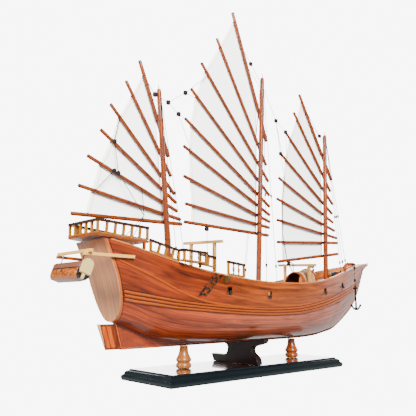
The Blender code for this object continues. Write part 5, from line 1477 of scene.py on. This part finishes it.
class JUNK_OT_sails(JunkStep):
    """Cotton sails laced to the port side of their battens"""
    bl_idname = "junk.sails"
    bl_label = "Sails"

    def make(self, sizes):
        """Cloth: straight chords between the spars, a hollow leech and a slight belly in each panel."""
        lit = bpy.data.collections.new("lit_cloth")
        soft_box(*CLOTH_LAMP).light_linking.receiver_collection = lit
        for name in SAILS:
            kinds = spar_kinds(name)
            aft, fore, sides = self.corners(name, kinds)
            panels = len(kinds) - 1
            t = np.linspace(0.0, panels, panels * SAIL_STEPS + 1)
            k = np.minimum(t.astype(int), panels - 1)
            part = (t - k)[:, None]
            leech = aft[k] * (1 - part) + aft[k + 1] * part
            luff = fore[k] * (1 - part) + fore[k + 1] * part
            arch = 4 * part * (1 - part)
            leech = leech + unit(luff - leech) * arch * sizes.leech_scallop / MM
            u = np.linspace(0.0, 1.0, SAIL_COLUMNS + 1)
            grid = leech[:, None] * (1 - u[:, None]) + luff[:, None] * u[:, None]
            out = (sides[k] * (1 - part[:, 0]) + sides[k + 1] * part[:, 0])[:, None]
            belly = arch * np.sin(math.pi * np.clip(u, 0.03, 0.97)) ** 0.6 * sizes.sail_belly / MM
            grid[..., 1] = out + belly
            chord = np.linalg.norm(luff - leech, axis=1)[:, None]
            run = np.concatenate([[0.0], np.cumsum(np.linalg.norm(np.diff(leech, axis=0), axis=1))])
            uv = np.stack([chord * u, np.broadcast_to(run[:, None], (len(t), len(u)))], -1) * MM
            shape = Shape()
            shape.grid(grid, uv=uv, extra=chord * (1 - u) * MM)
            sail = shape.build(f"{name}_sail_cloth", f"{name}_rig", "sail_cloth", ["cloth"],
                               (f"{name}_sail",), extra="luff", sharp=180.0)
            cloth = sail.modifiers.new("cloth", "SOLIDIFY")
            cloth.thickness, cloth.offset = CLOTH_M, 0.0
            lit.objects.link(sail)
            sail.visible_diffuse = False
            # cross products of each cell's diagonals, twice the area of the cells between the points
            cells = np.cross(grid[1:, 1:] - grid[:-1, :-1], grid[1:, :-1] - grid[:-1, 1:])

    def corners(self, name, kinds):
        """After and fore ends of the cloth on each spar, and its place beside the spar."""
        points = node_points(f"{name}_sail")
        aft, fore, sides = [], [], []
        for kind in kinds:
            low, high, low_radius, high_radius = rod_of(f"{name}_{kind}")
            length = np.linalg.norm((high - low)[[0, 2]])
            axis = (high - low)[[0, 2]] / length
            flat = points[:, [0, 2]] - low[[0, 2]]
            off = np.abs(flat[:, 0] * axis[1] - flat[:, 1] * axis[0])
            along = (flat @ axis)[off < 0.4]
            ends = [low + (high - low) * t / length for t in (along.min(), along.max())]
            ends.sort(key=lambda end: end[0])
            aft.append(ends[0])
            fore.append(ends[1] + unit(ends[1] - ends[0]) * LUFF_REACH)
            sides.append(low[1] + max(low_radius, high_radius) + CLOTH_OFF + SPAR_VARNISH)
        return np.array(aft), np.array(fore), np.array(sides)


class JUNK_OT_rigging(JunkStep):
    """Lashings and ties of thread"""
    bl_idname = "junk.rigging"
    bl_label = "Rigging"

    def make(self, sizes):
        """For each sail a lashing where a spar crosses the mast, and ties along the spar."""
        for name in SAILS:
            shape = Shape()
            mast, sail = rod_of(f"{name}_mast"), node_points(f"{name}_sail")
            for kind in spar_kinds(name):
                spar = rod_of(f"{name}_{kind}")
                self.lash(shape, mast, spar)
                self.tie(shape, spar, sail)
            shape.build(f"{name}_lashings", f"{name}_rig", "anchor_iron", ["thread"])

    def lash(self, shape, mast, spar):
        """Three turns round mast and spar where they cross."""
        (foot, head, foot_radius, head_radius), (low, high, r_low, r_high) = mast, spar
        axis, share = unit(head - foot), 0.5
        for _ in range(8):
            place = low + (high - low) * share
            height = (place[2] - foot[2]) / (head[2] - foot[2])
            x = foot[0] + height * (head[0] - foot[0])
            share = (x - low[0]) / (high[0] - low[0])
        crossing = low + (high - low) * share
        mast_radius = foot_radius + height * (head_radius - foot_radius)
        back = crossing[1] + r_low + share * (r_high - r_low) + 0.7
        front = -mast_radius - 0.35
        for lift in (-0.55, 0.0, 0.55):
            centre = np.array((crossing[0], (back + front) / 2, crossing[2])) + axis * lift
            shape.ring(centre, np.array((axis[2], 0.0, -axis[0])) * (mast_radius + 0.4),
                       (0.0, (back - front) / 2, 0.0), 0.3, 20)

    def tie(self, shape, spar, sail):
        """Five doubled ties that hold the cloth along a spar."""
        low, high, r_low, r_high = spar
        direction = unit(high - low)
        across = unit(np.cross(direction, (0.0, 1.0, 0.0)))
        flat = sail[:, [0, 2]] - low[[0, 2]]
        off = np.abs(flat[:, 0] * direction[2] - flat[:, 1] * direction[0])
        span = (flat @ direction[[0, 2]])[off < 0.6]
        for t in np.linspace(span.min() + 2.0, span.max() - 2.0, 5):
            r = r_low + t / np.linalg.norm(high - low) * (r_high - r_low)
            centre = low + direction * t + np.array((0.0, 0.2, 0.0))
            for shift in (-0.3, 0.3):
                shape.ring(centre + direction * shift, across * (r + 0.2), (0.0, r + 0.5, 0.0), 0.26, 12)


def masthead(name, down):
    """Point on a mast's axis, that far below its head."""
    low, high, _, _ = mast_of(name)
    return high - unit(high - low) * down


def on_spar(node, inset):
    """Point on a spar, inset from its after end."""
    ends = sorted(rod_of(node)[:2], key=lambda end: end[0])
    return ends[0] + unit(ends[1] - ends[0]) * inset


class JUNK_OT_lines(JunkStep):
    """Halyards, crowfeet, sheets and shrouds with their blocks"""
    bl_idname = "junk.lines"
    bl_label = "Lines and blocks"

    def make(self, sizes):
        """Threads from point to point, by their ends on the spars, mastheads and rails."""
        self.radius = sizes.thread_radius / MM
        # halyards: from the yard over a block to the masthead
        for name, inset, down, block in HALYARDS:
            head = masthead(name, down)
            yard = f"{name}_yard"
            lines = [[on_spar(yard, inset), block, head],
                     [on_spar(yard, inset + 34.0), head + (0.0, 2.0, -8.0)]]
            self.lay(f"{name}_halyard", lines, [block], f"{name}_rig")
        # crowfeet: from the leech of one sail to the head of the mast abaft it
        mizzen, main = masthead("mizzen", 12.0), masthead("main", 12.0)
        near, upper, lower = (-159.0, 2.0, 429.0), (-123.0, 3.0, 455.0), (-137.0, 3.0, 415.0)
        tack = on_spar("main_batten_4", 2.0)
        self.lay("main_crowfeet",
                 [[mizzen, near], [near, upper], [upper, on_spar("main_batten_2", 24.0)],
                  [upper, on_spar("main_batten_3", 24.0)], [near, lower, tack],
                  [lower, on_spar("main_batten_5", 18.0)]],
                 [near, upper, lower], "main_rig", (tack, mizzen))
        near = (102.0, 3.0, 458.0)
        upper, lower = on_spar("fore_batten_2", -3.0), on_spar("fore_batten_3", -3.0)
        self.lay("fore_crowfeet",
                 [[main, near], [near, upper], [near, lower], [near, lower + (2.0, -1.0, 3.0)],
                  [upper, on_spar("fore_batten_3", 20.0)], [lower, on_spar("fore_batten_4", 20.0)],
                  [on_spar("fore_batten_4", 16.0), on_spar("fore_batten_5", 16.0)]],
                 [near, upper, lower], "fore_rig", (upper, main))
        # sheets: from the leech down to the poop, the boom's block, and the fore gallows
        first, second, third, fourth, fifth, sixth = (
            on_spar(f"mizzen_batten_{batten}", inset) + (0.0, out, 0.0)
            for batten, inset, out in ((2, 20.0, -4.0), (3, 25.0, -4.0), (4, 51.0, -5.0),
                                       (4, 43.5, -5.0), (4, 96.0, -4.0), (5, 24.0, -4.0)))
        bend, foot = (-207.0, -6.0, 240.0), np.array((-240.0, -6.0, 206.0))
        self.lay("mizzen_sheet", [[first, second, third, bend, foot], [sixth, fourth, third],
                                  [fifth, bend, foot + (14.0, 2.0, -1.0)]],
                 [second, third, fourth], "mizzen_rig", (third, foot), small=(2.8, 2.4, 3.2), thick=1.3)
        boom, foot = on_spar("main_boom", 46.0), np.array((-112.0, -40.0, 172.0))
        block = boom + (0.0, -1.0, -6.0)
        self.lay("main_sheet", [[boom, block, foot]], [block], "main_rig", (block, foot))
        top, boom = on_spar("fore_batten_5", 16.0), on_spar("fore_boom", 22.0)
        foot = np.array((146.0, 4.0, 164.0))
        self.lay("fore_sheet", [[top, (112.0, 2.0, 240.0), (122.0, 0.0, 190.0), foot],
                                [boom, (142.0, 4.0, 187.0), foot]],
                 [boom + (6.0, -2.0, -5.0)], "fore_rig", (boom, foot), thick=1.9)
        # shrouds: from each masthead to the rails, clear of the swinging sails
        for name, down, feet in SHROUDS:
            lines, blocks = [], []
            for x, side in feet:
                head = masthead(name, PORT_SHROUD_DROP if side > 0 else down)
                head = head + (0.0, side * SHROUD_SPREAD, 0.0)
                foot = at_rail(x, side)
                lines.append([head, foot])
                blocks += [head + (foot - head) * share for share in SHROUD_BLOCKS]
            self.lay(f"{name}_shrouds", lines, blocks, "model", small=(1.4, 1.4, 3.0))

    def lay(self, name, lines, blocks, body, across=None, small=(3.6, 3.0, 3.8), thick=1.0):
        """Straight lines between points, with a rounded block at each of the others."""
        shape = Shape()
        for points in lines:
            points = np.array(points, float)
            spread = np.concatenate([start + (end - start) * np.linspace(0, 1, 13)[:, None]
                                     for start, end in zip(points, points[1:])])
            keep = np.concatenate([[True], np.linalg.norm(np.diff(spread, axis=0), axis=1) > 0.01])
            shape.tube(spread[keep], self.radius * thick, 5, rounded=False)
        for block in blocks:
            shape.ball(block, small, fill=1, power=0.6)
        piece = shape.build(name, None if across else body, "anchor_iron", ["thread", "block"])
        if across:
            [tuple(np.array(place) * MM) for place in across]
            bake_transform(piece)


class JUNK_OT_deck(JunkStep):
    """Gallows, mat shelter, windlass, catheads, anchors, ladder and bracket"""
    bl_idname = "junk.deck"
    bl_label = "Deck fittings"

    def make(self, sizes):
        """Fittings with eased edges, and the turned, bent and arched ones laid out anew."""
        for node, fill in (("aft_gallows", "birch"), ("fore_gallows", "birch"),
                           ("side_bracket", "bracket")):
            dressed(node, fill, 0.35)
        for side in ("port", "starboard"):
            self.cathead(f"cathead_{side}")
            self.anchor(f"anchor_{side}")
        self.windlass()
        dressed("boarding_ladder", "ladder", 0.2)
        self.shelter()

    def cathead(self, node):
        """Bent round timber with a lashing near its end, on the line of its node."""
        points = node_points(node)
        side, width = np.sign(points[0, 1]), np.abs(points[:, 1])
        low, high = points.min(0), points.max(0)
        foot = np.array((low[0] + CATHEAD_INSET, side * (width.min() + CATHEAD_INSET), low[2]))
        span = np.array((high[0] - foot[0], side * (width.max() - CATHEAD_INSET) - foot[1]))
        t = np.linspace(0, len(CATHEAD_KNOTS) - 1, 25)
        reach, up = (np.interp(t, np.arange(len(CATHEAD_KNOTS)), column)
                     for column in np.array(CATHEAD_KNOTS).T)
        path = np.stack([foot[0] + reach * span[0], foot[1] + reach * span[1],
                         foot[2] + up * (high[2] - low[2])], -1)
        shape = Shape()
        shape.tube(path, CATHEAD_RADIUS, 12)
        shape.tube(path[-4:-1], CATHEAD_RADIUS + 0.25, 12, fill=1, rounded=False)
        shape.build(node + "_bent", "model", "cap_wood", ["cathead", "block"], (node,))

    def anchor(self, node):
        """Shank, stock across it and curved arms with flukes, hung by blocks and a fall."""
        points = node_points(node)
        low, high = points.min(0), points.max(0)
        x, y, _ = (low + high) / 2
        foot, half = low[2] + 1.6, (high[0] - low[0]) / 2 + 0.6
        top = foot + SHANK
        twist = np.array((math.cos(ANCHOR_TWIST), np.sign(y) * math.sin(ANCHOR_TWIST)))
        swing = np.linspace(-ARM_SWING, ARM_SWING, 17)
        span = half * np.sin(swing) / math.sin(ARM_SWING)
        rise = ARM_RISE * (1 - np.cos(swing)) / (1 - math.cos(ARM_SWING))
        arms = np.stack([x + span * twist[0], y + span * twist[1], foot + rise], -1)
        shape = Shape()
        shape.tube([(x, y, foot), (x, y, foot + 20.0), (x, y, top)], (2.1, 1.8, 1.5), 8)
        shape.tube(arms, 1.5 + 0.6 * np.cos(swing * 1.4), 8)
        for tip in (arms[1], arms[-2]):
            shape.ball(tip, (2.0, 2.4, 1.9))
        stock = np.array((-twist[1], twist[0], 0.0)) * STOCK_HALF
        middle = np.array((x, y, top - 4.6))
        shape.tube([middle - stock, middle, middle + stock], 1.1, 8)
        shape.ring((x, y, top + 1.4), (0.0, 1.5, 0.0), (0.0, 0.0, 1.5), 0.4)
        fall = [(x, y, z) for z in (top + 2.5, (top + high[2]) / 2, high[2] - 0.3)]
        shape.tube(fall, 0.45, 6, fill=1, rounded=False)
        for z, size in ((low[2] + ANCHOR_BLOCK, 3.0), (high[2] - 4.5, 3.2)):
            shape.ball((x, y, z), (size * 0.8, size * 0.6, size), fill=2)
        shape.build(node + "_forged", "model", "anchor_iron", ["iron", "thread", "block"], (node,))

    def windlass(self):
        """Turned barrel across the foredeck, its middle wound with rope, between two cheeks."""
        points = node_points("windlass")
        low, high = points.min(0), points.max(0)
        x, z = (low[0] + high[0]) / 2, (low[2] + high[2]) / 2
        shape = Shape()
        for fill, rows in enumerate(WINDLASS_PARTS):
            share, radius = np.array(((rows[0][0], 0.0), *rows, (rows[-1][0], 0.0))).T
            shape.barrel(x, low[1] + share * (high[1] - low[1]), z, radius, 16, fill)
        for y in (low[1] + 0.8, high[1] - 0.8):
            shape.timber((x, y, low[2] - 1.5), (x, y, high[2] + 0.8), 1.6, 5.0, fill=3,
                         up=(1.0, 0.0, 0.0))
        shape.build("windlass_turned", "model", "rail_wood",
                    ["cathead", "rope", "baluster", "rail_block"], ("windlass",))

    def shelter(self):
        """Arched mat with a rolled rim at each mouth, its inner face dark as painted shade."""
        aft, fore = SHELTER_X
        rise, turn = SHELTER_HEIGHT - SHELTER_RADIUS, np.radians(np.linspace(0, 180, 33))

        def arch(radius):
            """Up one side, over the half circle and down the other, as y and z."""
            return (np.concatenate([[radius], radius * np.cos(turn), [-radius]]),
                    np.concatenate([[0.0], rise + radius * np.sin(turn), [0.0]]))

        shape = Shape()
        stations = np.linspace(aft, fore, 13)[:, None]
        deck = deck_height(stations) + 2 * GAP
        # the inner face takes the dark finish that paints the shade inside the shelter
        for radius, fill in ((SHELTER_RADIUS, 0), (SHELTER_RADIUS - MAT_THICKNESS, 2)):
            y, z = arch(radius)
            points = np.stack(np.broadcast_arrays(stations, y, deck + z), -1)
            shape.grid(points[:, ::-1] if fill else points, fill=fill)
        # three rolls at each mouth, the first a little thicker and drawn in
        for x, sign in ((aft, 1), (fore, -1)):
            base = float(deck_height(x)) + 2 * GAP
            for shift, out, thick in ((0.0, -0.5, 1.4), (1.6, 0.2, 1.1), (3.2, 0.2, 1.1)):
                y, z = arch(SHELTER_RADIUS)
                on_arch = z > rise + 1e-6
                path = np.stack([np.full(len(y), x + sign * (0.7 + shift)),
                                 y * (1 + out / SHELTER_RADIUS), base + z + out * on_arch], -1)
                shape.tube(path, thick, 8, fill=1)
        shape.build("shelter_mat", "model", "woven_mat", ["mat", "platform", "mat_inside"],
                    ("mat_shelter",))


STEPS = (JUNK_OT_stage, JUNK_OT_base, JUNK_OT_hull, JUNK_OT_guns, JUNK_OT_rudder, JUNK_OT_poop,
         JUNK_OT_tender, JUNK_OT_spars, JUNK_OT_sails, JUNK_OT_rigging, JUNK_OT_lines, JUNK_OT_deck)


class JUNK_PT_panel(bpy.types.Panel):
    """Lists the steps and the values that they use"""
    bl_label = "Display junk"
    bl_space_type = "VIEW_3D"
    bl_region_type = "UI"
    bl_category = "Junk"

    def draw(self, context):
        for group in (context.scene.junk_sizes, context.scene.junk_colours):
            for key in type(group).__annotations__:
                self.layout.prop(group, key)
        for step in STEPS:
            self.layout.operator(step.bl_idname)


CLASSES = (JunkSizes, JunkColours, *STEPS, JUNK_PT_panel)


def register():
    """Makes the steps, the panel and the values known."""
    for kind in CLASSES:
        bpy.utils.register_class(kind)
    bpy.types.Scene.junk_sizes = bpy.props.PointerProperty(type=JunkSizes)
    bpy.types.Scene.junk_colours = bpy.props.PointerProperty(type=JunkColours)


def unregister():
    """Takes them away again."""
    del bpy.types.Scene.junk_sizes, bpy.types.Scene.junk_colours
    for kind in reversed(CLASSES):
        bpy.utils.unregister_class(kind)


def main():
    """Runs every step in order."""
    register()
    for step in STEPS:
        getattr(bpy.ops.junk, step.bl_idname.split(".")[1])()
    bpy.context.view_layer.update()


if __name__ == "__main__":
    main()
